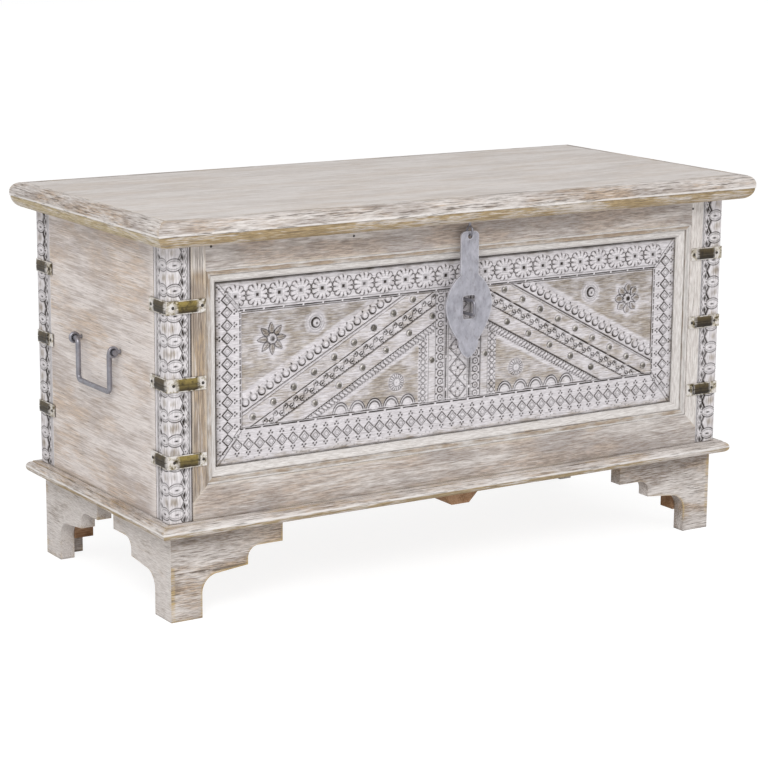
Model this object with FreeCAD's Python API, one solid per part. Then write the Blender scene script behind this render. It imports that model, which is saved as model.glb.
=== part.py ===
"""Carved storage chest: panelled body on bracket feet, hinged lid, iron hasp and two bail handles.

Millimetres, +Z up, X along the length, front towards -Y.
The origin lies on the floor under the middle of the lid.
"""

import FreeCAD, Part
import math
import os

V = FreeCAD.Vector

# Body
BODY_LENGTH = 1032.0
BODY_DEPTH = 444.0
WALL_HEIGHT = 413.0
POST_FRONT_WIDTH = 40.0
POST_SIDE_WIDTH = 44.0
SIDE_THICKNESS = 20.0
SIDE_RECESS = 1.5
BACK_THICKNESS = 20.0
BACK_RECESS = 1.5
BOTTOM_THICKNESS = 14.0
BOTTOM_CLEARANCE = 1.0

# Front frame and panel
TOP_RAIL_HEIGHT = 40.0
BOTTOM_RAIL_HEIGHT = 52.0
STILE_WIDTH = 23.5
PANEL_RECESS = 16.0
PANEL_THICKNESS = 12.0

# Panel mould, from its inner edge outwards
MOULD_WIDTH = 23.0
MOULD_QUIRK = 1.5
MOULD_FALL = 1.5
MOULD_BAND = 9.0
MOULD_STEP = 1.5
MOULD_LIP_HEIGHT = 8.0
MOULD_LIP_SLANT = 5.0

# Carved front: borders, slanting strips and bosses
CARVING_MARGIN = 1.0
TOP_BORDER = 42.0
SIDE_BORDER = 43.0
BOTTOM_BORDER = 53.0
BORDER_RELIEF = 2.0
STRIP_WIDTH = 22.0
STRIP_RELIEF = 4.0
CHAIN_WIDTH = 22.0
CHAIN_RELIEF = 2.0
SCROLL_WIDTH = 18.0
LADDER_WIDTH = 11.0
STRIP_GAP = 1.5
CENTRE_COLUMN_WIDTH = 44.0
UPRIGHT_PLACE = 50.0
UPRIGHT_WIDTH = 14.0
UPRIGHT_BEAD_WIDTH = 15.0
UPPER_STRIP_FOOT = 18.0
UPPER_STRIP_FOOT_RISE = 15.0
UPPER_STRIP_TOP = 36.0
UPPER_STRIP_TOP_FALL = 13.0
STUD_RADIUS = 5.0
STUD_HEIGHT = 3.5
UPPER_STUDS = 9
LOWER_STUDS = 6
UPRIGHT_STUD_HEIGHT = 68.0
STUD_END_MARGIN = 24.0
DAISY_RADIUS = 25.0
DAISY_FROM_SIDE = 52.5
DAISY_FROM_TOP = 50.0
RINGED_STUD_RADIUS = 14.0
RINGED_STUD_FROM_SIDE = 128.0
RINGED_STUD_FROM_TOP = 33.0
SMALL_ROSETTE_RADIUS = 12.0
SMALL_ROSETTE_FROM_MIDDLE = 113.0
SMALL_ROSETTE_FROM_BOTTOM = 39.0
BOSS_HEIGHT = 3.0
BOSS_CROWN_RADIUS = 6.0
BOSS_CROWN_HEIGHT = 3.0

# Base and feet
FOOT_HEIGHT = 133.0
BASE_THICKNESS = 19.0
BASE_OVERHANG = 20.0
BASE_WIDTH = 72.0
BASE_QUIRK = 1.5
FOOT_INSET = 4.0
BRACKET_THICKNESS = 24.0
BRACKET_LENGTH = 190.0
END_BRACKET_GAP = 56.0
BRACKET_END_HEIGHT = 34.0
BRACKET_STEP_FROM_CORNER = 130.0
BRACKET_STEP_HEIGHT = 62.0
BRACKET_STEP_RADIUS = 18.0
LEG_WIDTH = 52.0
LEG_ARCH_RADIUS = 28.0
LEG_ARCH_FALL = 5.0
BLOCK_WIDTH = 32.0
BLOCK_HEIGHT = 100.0
BEARER_BOTTOM_WIDTH = 33.0
BEARER_DEPTH = 20.0
BEARER_NOTCH_CLEARANCE = 1.0

# Lid
LID_THICKNESS = 40.0
LID_FRONT_OVERHANG = 44.0
LID_BACK_OVERHANG = 26.0
LID_SIDE_OVERHANG = 34.0
NOSING_WIDTH = 22.0
NOSING_RADIUS = 15.0
NOSING_SPLIT = 19.0
NOSING_STEP = 1.2
BATTEN_WIDTH = 45.0
BATTEN_THICKNESS = 18.0
BATTEN_FROM_END = 236.0
BATTEN_END_CLEARANCE = 25.0

# Back hinges
HINGE_WIDTH = 70.0
HINGE_FROM_END = 186.0
HINGE_LEAF_THICKNESS = 2.5
HINGE_BODY_LEAF_HEIGHT = 40.0
HINGE_LID_LEAF_DEPTH = 34.0
KNUCKLE_RADIUS = 5.0
KNUCKLE_CLEARANCE = 1.0
KNUCKLE_SIDE_GAP = 0.5
MIDDLE_KNUCKLE_WIDTH = 33.0
HINGE_WEB_THICKNESS = 5.0
PIN_RADIUS = 2.5
PIN_CLEARANCE = 0.05

# Hasp, its eye and its staple
HASP_STANDOFF = 14.0
HASP_THICKNESS = 3.0
HASP_NECK_WIDTH = 33.0
HASP_NECK_LENGTH = 68.4
HASP_WIDTH = 86.0
HASP_SHOULDER_DROP = 48.0
HASP_WAIST_DROP = 53.4
HASP_TONGUE_WIDTH = 37.0
HASP_TONGUE_LENGTH = 29.0
HASP_TOP_RADIUS = 8.0
HASP_SLOT_WIDTH = 23.0
HASP_SLOT_HEIGHT = 37.0
HASP_SLOT_RADIUS = 4.0
HASP_SLOT_BELOW_WIDEST = 2.0
HASP_HOLE_RADIUS = 4.2
HASP_HOLE_RIM = 3.5
EYE_LOOP_RADIUS = 7.0
EYE_WIRE_RADIUS = 1.8
EYE_LID_GAP = 5.5
EYE_HANG_GAP = 0.6
EYE_STEM_RADIUS = 2.2
EYE_STEM_DEPTH = 20.0
STAPLE_WIRE_RADIUS = 2.5
STAPLE_SLOT_GAP = 5.0
STAPLE_REACH = 12.0
STAPLE_BEND_RADIUS = 6.0
STEM_CLEARANCE = 0.05

# Corner straps
STRAPS_PER_CORNER = 3
STRAP_HEIGHT = 20.0
STRAP_THICKNESS = 1.6
STRAP_SIDE_LEG = 53.0
STRAP_END_GAP = 1.0
STRAP_FROM_TOP = 91.0
STRAP_SPACING = 114.5

# Bail handles
HANDLE_BELOW_LID = 181.0
HANDLE_EYE_SPACING = 134.0
HANDLE_WIDTH = 108.0
HANDLE_DROP = 64.0
HANDLE_BAR_RADIUS = 4.0
HANDLE_BEND_RADIUS = 8.5
HANDLE_PIN_END = 5.0
HANDLE_STANDOFF = 11.0
HANDLE_EYE_CLEARANCE = 0.08
HANDLE_EYE_WIRE = 2.6
HANDLE_STEM_RADIUS = 3.0

# Places worked out from the sizes above
LID_LENGTH = BODY_LENGTH + 2 * LID_SIDE_OVERHANG
LID_DEPTH = BODY_DEPTH + LID_FRONT_OVERHANG + LID_BACK_OVERHANG
FRONT = -LID_DEPTH / 2 + LID_FRONT_OVERHANG
BACK = FRONT + BODY_DEPTH
MIDDLE_Y = (FRONT + BACK) / 2
HALF = BODY_LENGTH / 2
BASE_TOP = FOOT_HEIGHT + BASE_THICKNESS
LID_BOTTOM = BASE_TOP + WALL_HEIGHT
LID_TOP = LID_BOTTOM + LID_THICKNESS
FRAME_THICKNESS = PANEL_RECESS + PANEL_THICKNESS
OPEN_HALF = HALF - POST_FRONT_WIDTH - STILE_WIDTH
OPEN_BOTTOM = BASE_TOP + BOTTOM_RAIL_HEIGHT
OPEN_TOP = LID_BOTTOM - TOP_RAIL_HEIGHT
PANEL_FACE = FRONT + PANEL_RECESS
SHOWN_HALF = OPEN_HALF - MOULD_WIDTH
SHOWN_BOTTOM = OPEN_BOTTOM + MOULD_WIDTH
SHOWN_TOP = OPEN_TOP - MOULD_WIDTH
FIELD_HALF = SHOWN_HALF - SIDE_BORDER
FIELD_BOTTOM = SHOWN_BOTTOM + BOTTOM_BORDER
FIELD_TOP = SHOWN_TOP - TOP_BORDER
BATTEN_X = HALF - BATTEN_FROM_END
HINGE_X = HALF - HINGE_FROM_END
HINGE_Y = BACK + KNUCKLE_RADIUS + KNUCKLE_CLEARANCE
HINGE_Z = LID_BOTTOM - KNUCKLE_RADIUS - KNUCKLE_CLEARANCE
HASP_Y = FRONT - HASP_STANDOFF
EYE_Z = LID_BOTTOM - EYE_LOOP_RADIUS - EYE_WIRE_RADIUS - EYE_LID_GAP
HASP_HOLE_Z = EYE_Z - EYE_LOOP_RADIUS + EYE_WIRE_RADIUS + EYE_HANG_GAP - HASP_HOLE_RADIUS
HASP_TOP = HASP_HOLE_Z + HASP_HOLE_RADIUS + HASP_HOLE_RIM
HASP_SHOULDER_TOP = HASP_TOP - HASP_NECK_LENGTH
HASP_WIDEST = HASP_SHOULDER_TOP - HASP_SHOULDER_DROP
HASP_WAIST = HASP_WIDEST - HASP_WAIST_DROP
HASP_TIP = HASP_WAIST - HASP_TONGUE_LENGTH
SLOT_Z = HASP_WIDEST - HASP_SLOT_BELOW_WIDEST
HANDLE_Z = LID_BOTTOM - HANDLE_BELOW_LID
HANDLE_X = HALF + HANDLE_STANDOFF
X_AXIS = V(1, 0, 0)
Y_AXIS = V(0, 1, 0)
Z_AXIS = V(0, 0, 1)


def box(x0, x1, y0, y1, z0, z1):
    """Block between two corners."""
    return Part.makeBox(x1 - x0, y1 - y0, z1 - z0, V(x0, y0, z0))


def rod(start, direction, length, radius):
    """Round bar from a point along a direction."""
    return Part.makeCylinder(radius, length, start, direction)


def outline_face(start, *steps):
    """Face inside a closed outline: a point is a straight run, a pair (via, end) an arc."""
    edges = []
    here = start
    for step in steps:
        if isinstance(step, tuple):
            via, end = step
            edges.append(Part.Arc(here, via, end).toShape())
        else:
            end = step
            edges.append(Part.LineSegment(here, end).toShape())
        here = end
    if not here.isEqual(start, 1e-6):
        edges.append(Part.LineSegment(here, start).toShape())
    return Part.Face(Part.Wire(edges))


def arc_point(centre, radius, degrees, plane):
    """Point on a circle; plane turns the two circle coordinates into a place in space."""
    turn = math.radians(degrees)
    return plane(centre[0] + radius * math.cos(turn), centre[1] + radius * math.sin(turn))


def across_length(y, z):
    """Place in the plane across the chest's length, where bar sections are drawn."""
    return V(0, y, z)


def fused(pieces):
    """One solid out of pieces that meet."""
    first, *others = pieces
    return first.multiFuse(others).removeSplitter() if others else first


def mitred_bar(section, inner_length, width, height):
    """Bar along X whose ends are cut at 45 degrees.

    The section lies in the YZ plane, with Y = 0 at the inner edge and Y = width at the outer one.
    """
    half = inner_length / 2
    reach = half + width
    bar = section.translated(V(-reach, 0, 0)).extrude(V(2 * reach, 0, 0))
    spare = 1.0
    for side in (-1, 1):
        corner = outline_face(
            V(side * (half - spare), -spare, -spare),
            V(side * (reach + spare), width + spare, -spare),
            V(side * (reach + spare), -spare, -spare),
        )
        bar = bar.cut(corner.extrude(V(0, 0, height + 2 * spare)))
    return bar


def mitred_frame(section, inner_x, inner_y, width, height):
    """Four mitred bars around an opening in the XY plane: front, right, back and left."""
    bars = {}
    turns = {"back": 0, "left": 90, "front": 180, "right": 270}
    for side, degrees in turns.items():
        along_x = side in ("front", "back")
        length, offset = (inner_x, inner_y / 2) if along_x else (inner_y, inner_x / 2)
        bar = mitred_bar(section, length, width, height)
        bar.translate(V(0, offset, 0))
        bar.rotate(V(0, 0, 0), Z_AXIS, degrees)
        bars[side] = bar
    return bars


def bent_rod(points, bend, radius):
    """Round bar along straight runs joined by arcs of one bend radius."""
    edges = []
    here = points[0]
    for before, corner, after in zip(points, points[1:], points[2:]):
        into = (corner - before).normalize()
        out = (after - corner).normalize()
        start = corner - into * bend
        end = corner + out * bend
        via = corner + (out - into) * bend * (1 - math.sqrt(0.5))
        edges.append(Part.LineSegment(here, start).toShape())
        edges.append(Part.Arc(start, via, end).toShape())
        here = end
    edges.append(Part.LineSegment(here, points[-1]).toShape())
    spine = Part.Wire(edges)
    ring = Part.Wire(Part.makeCircle(radius, points[0], points[1] - points[0]))
    return spine.makePipeShell([ring], True, False)


def mirrored_x(shape):
    """The same piece on the other end of the chest."""
    return shape.mirror(V(0, 0, 0), X_AXIS)


def mirrored_y(shape):
    """The same piece on the other side of the body's middle."""
    return shape.mirror(V(0, MIDDLE_Y, 0), Y_AXIS)


def four_corners(front_left):
    """One corner's piece on all four corners."""
    back_left = mirrored_y(front_left)
    return {
        "front_left": front_left,
        "front_right": mirrored_x(front_left),
        "back_left": back_left,
        "back_right": mirrored_x(back_left),
    }


def corner_posts():
    """Square posts at the corners, full wall height."""
    post = box(-HALF, -HALF + POST_FRONT_WIDTH, FRONT, FRONT + POST_SIDE_WIDTH, BASE_TOP, LID_BOTTOM)
    return {f"corner_post_{corner}": shape for corner, shape in four_corners(post).items()}


def front_frame():
    """Rails and stiles around the front panel; the stiles are mitred into the bottom rail."""
    post_edge = HALF - POST_FRONT_WIDTH
    inward = V(0, FRAME_THICKNESS, 0)
    mitre_end = OPEN_BOTTOM - STILE_WIDTH
    rail = outline_face(
        V(-post_edge, FRONT, BASE_TOP),
        V(post_edge, FRONT, BASE_TOP),
        V(post_edge, FRONT, mitre_end),
        V(OPEN_HALF, FRONT, OPEN_BOTTOM),
        V(-OPEN_HALF, FRONT, OPEN_BOTTOM),
        V(-post_edge, FRONT, mitre_end),
    )
    stile = outline_face(
        V(-post_edge, FRONT, mitre_end),
        V(-OPEN_HALF, FRONT, OPEN_BOTTOM),
        V(-OPEN_HALF, FRONT, LID_BOTTOM),
        V(-post_edge, FRONT, LID_BOTTOM),
    )
    left = stile.extrude(inward)
    return {
        "front_bottom_rail": rail.extrude(inward),
        "front_top_rail": box(-OPEN_HALF, OPEN_HALF, FRONT, FRONT + FRAME_THICKNESS, OPEN_TOP, LID_BOTTOM),
        "front_stile_left": left,
        "front_stile_right": mirrored_x(left),
    }


def panel_moulds():
    """Mitred mould that steps down from the front frame to the panel."""
    outer = PANEL_RECESS - MOULD_QUIRK
    split = MOULD_WIDTH - MOULD_BAND
    section = outline_face(
        V(0, 0, 0),
        V(0, MOULD_LIP_SLANT, MOULD_LIP_HEIGHT),
        V(0, split, outer - MOULD_FALL - MOULD_STEP),
        V(0, split, outer - MOULD_FALL),
        V(0, MOULD_WIDTH, outer),
        V(0, MOULD_WIDTH, 0),
    )
    bars = mitred_frame(section, 2 * SHOWN_HALF, SHOWN_TOP - SHOWN_BOTTOM, MOULD_WIDTH, PANEL_RECESS)
    names = {"back": "top", "front": "bottom", "left": "left", "right": "right"}
    moulds = {}
    for side, bar in bars.items():
        bar.rotate(V(0, 0, 0), X_AXIS, 90)
        bar.translate(V(0, PANEL_FACE, (SHOWN_BOTTOM + SHOWN_TOP) / 2))
        moulds[f"panel_mould_{names[side]}"] = bar
    return moulds


def upper_strip_line():
    """Ends of the line along the upper studded strip of the left half, in X and Z."""
    foot = (-FIELD_HALF + UPPER_STRIP_FOOT, FIELD_BOTTOM + UPPER_STRIP_FOOT_RISE)
    top = (-UPRIGHT_PLACE - UPPER_STRIP_TOP, FIELD_TOP - UPPER_STRIP_TOP_FALL)
    return foot, top


def strip_frame():
    """Start, direction along the strips and direction across them, down to the lower middle."""
    foot, top = upper_strip_line()
    run = math.hypot(top[0] - foot[0], top[1] - foot[1])
    along = ((top[0] - foot[0]) / run, (top[1] - foot[1]) / run)
    across = (along[1], -along[0])
    return foot, along, across, run


def strip_offsets():
    """How far the middle of each slanting strip lies from the upper studded one, with width and relief."""
    scroll = STRIP_WIDTH / 2 + STRIP_GAP + SCROLL_WIDTH / 2
    lower = scroll + SCROLL_WIDTH / 2 + STRIP_GAP + STRIP_WIDTH / 2
    ladder = lower + STRIP_WIDTH / 2 + STRIP_GAP + LADDER_WIDTH / 2
    chain = -(STRIP_WIDTH / 2 + STRIP_GAP + CHAIN_WIDTH / 2)
    return {
        "chain": (chain, CHAIN_WIDTH, CHAIN_RELIEF),
        "upper": (0.0, STRIP_WIDTH, STRIP_RELIEF),
        "scroll": (scroll, SCROLL_WIDTH, CHAIN_RELIEF),
        "lower": (lower, STRIP_WIDTH, STRIP_RELIEF),
        "ladder": (ladder, LADDER_WIDTH, CHAIN_RELIEF),
    }


def slanting_band(near, far, relief):
    """Long raised band between two distances across the slant, not yet cut to the field."""
    foot, along, across, run = strip_frame()
    corners = []
    for step, reach in ((-run, near), (2 * run, near), (2 * run, far), (-run, far)):
        x = foot[0] + along[0] * step + across[0] * reach
        z = foot[1] + along[1] * step + across[1] * reach
        corners.append(V(x, PANEL_FACE, z))
    return outline_face(*corners).extrude(V(0, -relief, 0))


def slanting_strips():
    """Raised strips of the left half, cut off at the edges of the field and at the middle column."""
    inner = -UPRIGHT_PLACE + UPRIGHT_WIDTH / 2
    field = box(-FIELD_HALF, inner, PANEL_FACE - 2 * STRIP_RELIEF, PANEL_FACE, FIELD_BOTTOM, FIELD_TOP)
    strips = []
    for offset, width, relief in strip_offsets().values():
        strips.append(slanting_band(offset - width / 2, offset + width / 2, relief).common(field))
    return strips


def upright_strips():
    """Studded upright and the bead beside it, left of the middle, up to the lowest slanting strip."""
    ladder, ladder_width, relief = strip_offsets()["ladder"]
    above = slanting_band(-FIELD_HALF, ladder + ladder_width / 2, 2 * STRIP_RELIEF)
    strips = []
    edge = UPRIGHT_PLACE + UPRIGHT_WIDTH / 2
    for near, far, relief in (
        (edge - UPRIGHT_WIDTH, edge, STRIP_RELIEF),
        (edge, edge + UPRIGHT_BEAD_WIDTH, CHAIN_RELIEF),
    ):
        strip = box(-far, -near, PANEL_FACE - relief, PANEL_FACE, FIELD_BOTTOM, FIELD_TOP)
        strips.append(strip.cut(above))
    return strips


def centre_column():
    """Low raised column behind the hasp, from the bottom border to the top one."""
    half = CENTRE_COLUMN_WIDTH / 2
    return box(-half, half, PANEL_FACE - CHAIN_RELIEF, PANEL_FACE, FIELD_BOTTOM, FIELD_TOP)


def dome_radius(foot, height):
    """Radius of the ball whose cap has this foot radius and height."""
    return (foot ** 2 + height ** 2) / (2 * height)


def boss(x, z, radius):
    """Flat round flower with a domed middle, standing on the panel."""
    ball = dome_radius(BOSS_CROWN_RADIUS, BOSS_CROWN_HEIGHT)
    top = BOSS_HEIGHT + BOSS_CROWN_HEIGHT
    half_way = 90 - math.degrees(math.asin(BOSS_CROWN_RADIUS / ball)) / 2
    face = outline_face(
        V(0, 0, 0),
        V(radius, 0, 0),
        V(radius - BOSS_HEIGHT / 2, BOSS_HEIGHT, 0),
        V(BOSS_CROWN_RADIUS, BOSS_HEIGHT, 0),
        (arc_point((0, top - ball), ball, half_way, V), V(0, top, 0)),
    )
    flower = face.revolve(V(0, 0, 0), Y_AXIS, 360)
    flower.rotate(V(0, 0, 0), X_AXIS, 180)
    flower.translate(V(x, PANEL_FACE, z))
    return flower


def bosses():
    """Daisy, ringed stud and small rosette of the left half."""
    return [
        boss(-FIELD_HALF + DAISY_FROM_SIDE, FIELD_TOP - DAISY_FROM_TOP, DAISY_RADIUS),
        boss(-FIELD_HALF + RINGED_STUD_FROM_SIDE, FIELD_TOP - RINGED_STUD_FROM_TOP, RINGED_STUD_RADIUS),
        boss(-SMALL_ROSETTE_FROM_MIDDLE, FIELD_BOTTOM + SMALL_ROSETTE_FROM_BOTTOM, SMALL_ROSETTE_RADIUS),
    ]


def front_panel():
    """Carved panel: raised border, middle column, strips, flowers, and holes for the staple."""
    board = box(-OPEN_HALF, OPEN_HALF, PANEL_FACE, PANEL_FACE + PANEL_THICKNESS, OPEN_BOTTOM, OPEN_TOP)
    edge = SHOWN_HALF - CARVING_MARGIN
    low = SHOWN_BOTTOM + CARVING_MARGIN
    high = SHOWN_TOP - CARVING_MARGIN
    border = box(-edge, edge, PANEL_FACE - BORDER_RELIEF, PANEL_FACE, low, high)
    field = box(-FIELD_HALF, FIELD_HALF, PANEL_FACE - BORDER_RELIEF, PANEL_FACE, FIELD_BOTTOM, FIELD_TOP)
    left = slanting_strips() + upright_strips() + bosses()
    raised = [border.cut(field), centre_column()] + left + [mirrored_x(piece) for piece in left]
    panel = fused([board] + raised)
    return {"front_panel": panel.cut(staple_holes())}


def stud(x, z):
    """Domed nail head on a raised strip."""
    seat = PANEL_FACE - STRIP_RELIEF
    bulge = dome_radius(STUD_RADIUS, STUD_HEIGHT)
    ball = Part.makeSphere(bulge, V(x, seat - STUD_HEIGHT + bulge, z))
    room = box(
        x - STUD_RADIUS, x + STUD_RADIUS, seat - STUD_HEIGHT, seat, z - STUD_RADIUS, z + STUD_RADIUS
    )
    return ball.common(room)


def panel_studs():
    """Studs along the slanting strips and up the uprights, on both halves."""
    foot, along, across, run = strip_frame()
    lower = strip_offsets()["lower"][0]
    places = []
    for i in range(UPPER_STUDS):
        step = run * i / (UPPER_STUDS - 1)
        places.append((foot[0] + along[0] * step, foot[1] + along[1] * step))
    base = (foot[0] + across[0] * lower, foot[1] + across[1] * lower)
    first = (FIELD_BOTTOM + STUD_END_MARGIN - base[1]) / along[1]
    last = (-UPRIGHT_PLACE - base[0]) / along[0]
    for i in range(LOWER_STUDS):
        step = first + (last - first) * i / (LOWER_STUDS - 1)
        places.append((base[0] + along[0] * step, base[1] + along[1] * step))
    places.append((-UPRIGHT_PLACE, FIELD_BOTTOM + UPRIGHT_STUD_HEIGHT))
    left = [stud(x, z) for x, z in places]
    return {"panel_studs": Part.makeCompound(left + [mirrored_x(one) for one in left])}


def side_panels():
    """Plain end walls between the posts, with holes for the handle eyes."""
    outer = -HALF + SIDE_RECESS
    near = FRONT + POST_SIDE_WIDTH
    far = BACK - POST_SIDE_WIDTH
    left = box(outer, outer + SIDE_THICKNESS, near, far, BASE_TOP, LID_BOTTOM)
    hole_radius = HANDLE_STEM_RADIUS + STEM_CLEARANCE
    for y in handle_eye_places():
        left = left.cut(rod(V(outer, y, HANDLE_Z), X_AXIS, SIDE_THICKNESS, hole_radius))
    return {"side_panel_left": left, "side_panel_right": mirrored_x(left)}


def back_panel():
    """Plain back wall between the rear posts."""
    edge = HALF - POST_FRONT_WIDTH
    outer = BACK - BACK_RECESS
    return {"back_panel": box(-edge, edge, outer - BACK_THICKNESS, outer, BASE_TOP, LID_BOTTOM)}


def bottom_board():
    """Floor of the chest, lying on the base frame, notched round the posts."""
    gap = BOTTOM_CLEARANCE
    side = HALF - SIDE_RECESS - SIDE_THICKNESS - gap
    near = FRONT + FRAME_THICKNESS + gap
    far = BACK - BACK_RECESS - BACK_THICKNESS - gap
    board = box(-side, side, near, far, BASE_TOP, BASE_TOP + BOTTOM_THICKNESS)
    notch = box(
        -HALF,
        -HALF + POST_FRONT_WIDTH + gap,
        FRONT,
        FRONT + POST_SIDE_WIDTH + gap,
        BASE_TOP,
        BASE_TOP + BOTTOM_THICKNESS,
    )
    return {"bottom_board": board.cut(Part.makeCompound(list(four_corners(notch).values())))}


def base_mouldings():
    """Mitred base frame with a half-round nose and a small step above it."""
    nose = (BASE_THICKNESS - BASE_QUIRK) / 2
    shoulder = BASE_WIDTH - nose
    section = outline_face(
        V(0, 0, 0),
        V(0, shoulder, 0),
        (V(0, BASE_WIDTH, nose), V(0, shoulder, 2 * nose)),
        V(0, shoulder, BASE_THICKNESS),
        V(0, 0, BASE_THICKNESS),
    )
    inner_x = BODY_LENGTH + 2 * BASE_OVERHANG - 2 * BASE_WIDTH
    inner_y = BODY_DEPTH + 2 * BASE_OVERHANG - 2 * BASE_WIDTH
    bars = mitred_frame(section, inner_x, inner_y, BASE_WIDTH, BASE_THICKNESS)
    for bar in bars.values():
        bar.translate(V(0, MIDDLE_Y, FOOT_HEIGHT))
    return {f"base_moulding_{side}": bar for side, bar in bars.items()}


def bracket(along, into, length):
    """Bracket of a foot, cut in two hollow steps, from the outer corner along one wall.

    along is the way the bracket runs from the corner, into the way towards the chest's middle.
    """
    corner = V(-HALF + FOOT_INSET, FRONT + FOOT_INSET, 0)

    def place(run, z):
        """Point at a run from the corner and a height."""
        return corner + along * run + Z_AXIS * z

    end_z = FOOT_HEIGHT - BRACKET_END_HEIGHT
    step_z = FOOT_HEIGHT - BRACKET_STEP_HEIGHT
    arch_z = step_z - LEG_ARCH_FALL
    arch = (LEG_WIDTH + LEG_ARCH_RADIUS, arch_z - LEG_ARCH_RADIUS)
    step = (BRACKET_STEP_FROM_CORNER + BRACKET_STEP_RADIUS, end_z - BRACKET_STEP_RADIUS)
    face = outline_face(
        place(0, 0),
        place(LEG_WIDTH, 0),
        place(LEG_WIDTH, arch[1]),
        (arc_point(arch, LEG_ARCH_RADIUS, 135, place), place(arch[0], arch_z)),
        place(BRACKET_STEP_FROM_CORNER, step_z),
        place(BRACKET_STEP_FROM_CORNER, step[1]),
        (arc_point(step, BRACKET_STEP_RADIUS, 135, place), place(step[0], end_z)),
        place(length, end_z),
        place(length, FOOT_HEIGHT),
        place(0, FOOT_HEIGHT),
    )
    board = face.extrude(into * BRACKET_THICKNESS)
    across = into * BRACKET_THICKNESS
    mitre = outline_face(corner, corner + across, corner + across + along * BRACKET_THICKNESS)
    return board.cut(mitre.extrude(Z_AXIS * FOOT_HEIGHT))


def feet():
    """Mitred brackets and a glue block at each corner."""
    pieces = {}
    inside = FOOT_INSET + BRACKET_THICKNESS
    block = box(
        -HALF + inside,
        -HALF + inside + BLOCK_WIDTH,
        FRONT + inside,
        FRONT + inside + BLOCK_WIDTH,
        FOOT_HEIGHT - BLOCK_HEIGHT,
        FOOT_HEIGHT,
    )
    end_length = (BODY_DEPTH - 2 * FOOT_INSET - END_BRACKET_GAP) / 2
    kinds = {
        "foot_long_bracket": bracket(X_AXIS, Y_AXIS, BRACKET_LENGTH),
        "foot_end_bracket": bracket(Y_AXIS, X_AXIS, end_length),
        "foot_block": block,
    }
    for kind, shape in kinds.items():
        for corner, piece in four_corners(shape).items():
            pieces[f"{kind}_{corner}"] = piece
    return pieces


def bearer():
    """Timber across the underside at mid length, notched under the base frame, holding the floor up."""
    half = BEARER_BOTTOM_WIDTH / 2
    low = FOOT_HEIGHT - BEARER_DEPTH
    section = outline_face(
        V(-half, FRONT, low),
        V(half, FRONT, low),
        V(half + BEARER_DEPTH, FRONT, FOOT_HEIGHT),
        V(-half - BEARER_DEPTH, FRONT, FOOT_HEIGHT),
    )
    inner = BASE_WIDTH - BASE_OVERHANG + BEARER_NOTCH_CLEARANCE
    raised = box(-half, half, FRONT + inner, BACK - inner, FOOT_HEIGHT, BASE_TOP)
    return {"centre_bearer": fused([section.extrude(V(0, BODY_DEPTH, 0)), raised])}


def corner_straps():
    """Thin straps bent round each corner post."""
    front_leg = POST_FRONT_WIDTH + STILE_WIDTH - STRAP_END_GAP
    straps = []
    for i in range(STRAPS_PER_CORNER):
        top = LID_BOTTOM - STRAP_FROM_TOP - i * STRAP_SPACING + STRAP_HEIGHT / 2
        wrap = box(
            -HALF - STRAP_THICKNESS,
            -HALF + front_leg,
            FRONT - STRAP_THICKNESS,
            FRONT + STRAP_SIDE_LEG,
            top - STRAP_HEIGHT,
            top,
        )
        inside = box(-HALF, HALF, FRONT, BACK, top - STRAP_HEIGHT, top)
        straps.append(wrap.cut(inside))
    corners = four_corners(Part.makeCompound(straps))
    return {f"corner_straps_{corner}": shape for corner, shape in corners.items()}


def nosing_section():
    """Half-round edge of the lid with a small step at the foot of its upper round."""
    upper = min(NOSING_RADIUS, LID_THICKNESS - NOSING_SPLIT)
    lower_edge = NOSING_WIDTH - NOSING_STEP
    lower_centre = (lower_edge - NOSING_SPLIT, NOSING_SPLIT)
    upper_centre = (NOSING_WIDTH - upper, LID_THICKNESS - upper)
    return outline_face(
        V(0, 0, 0),
        V(0, lower_centre[0], 0),
        (arc_point(lower_centre, NOSING_SPLIT, -45, across_length), V(0, lower_edge, NOSING_SPLIT)),
        V(0, NOSING_WIDTH, NOSING_SPLIT),
        V(0, NOSING_WIDTH, upper_centre[1]),
        (arc_point(upper_centre, upper, 45, across_length), V(0, upper_centre[0], LID_THICKNESS)),
        V(0, 0, LID_THICKNESS),
    )


def lid():
    """Lid panel, its four nosings and two battens, with pockets for the hinges and the hasp eye."""
    inner_x = LID_LENGTH - 2 * NOSING_WIDTH
    inner_y = LID_DEPTH - 2 * NOSING_WIDTH
    bars = mitred_frame(nosing_section(), inner_x, inner_y, NOSING_WIDTH, LID_THICKNESS)
    for bar in bars.values():
        bar.translate(V(0, 0, LID_BOTTOM))
    pockets = Part.makeCompound([lid_leaf_plate(side) for side in (-1, 1)])
    panel = box(-inner_x / 2, inner_x / 2, -inner_y / 2, inner_y / 2, LID_BOTTOM, LID_TOP)
    panel = panel.cut(pockets).cut(eye_stem(STEM_CLEARANCE))
    bars["back"] = bars["back"].cut(pockets)
    bars["front"] = bars["front"].cut(eye_stem(STEM_CLEARANCE))
    pieces = {"lid_panel": panel}
    pieces.update({f"lid_nosing_{side}": bar for side, bar in bars.items()})
    near = FRONT + FRAME_THICKNESS + BATTEN_END_CLEARANCE
    far = BACK - BACK_RECESS - BACK_THICKNESS - BATTEN_END_CLEARANCE
    batten = box(
        -BATTEN_X - BATTEN_WIDTH / 2,
        -BATTEN_X + BATTEN_WIDTH / 2,
        near,
        far,
        LID_BOTTOM - BATTEN_THICKNESS,
        LID_BOTTOM,
    )
    pieces["lid_batten_left"] = batten
    pieces["lid_batten_right"] = mirrored_x(batten)
    return pieces


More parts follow.
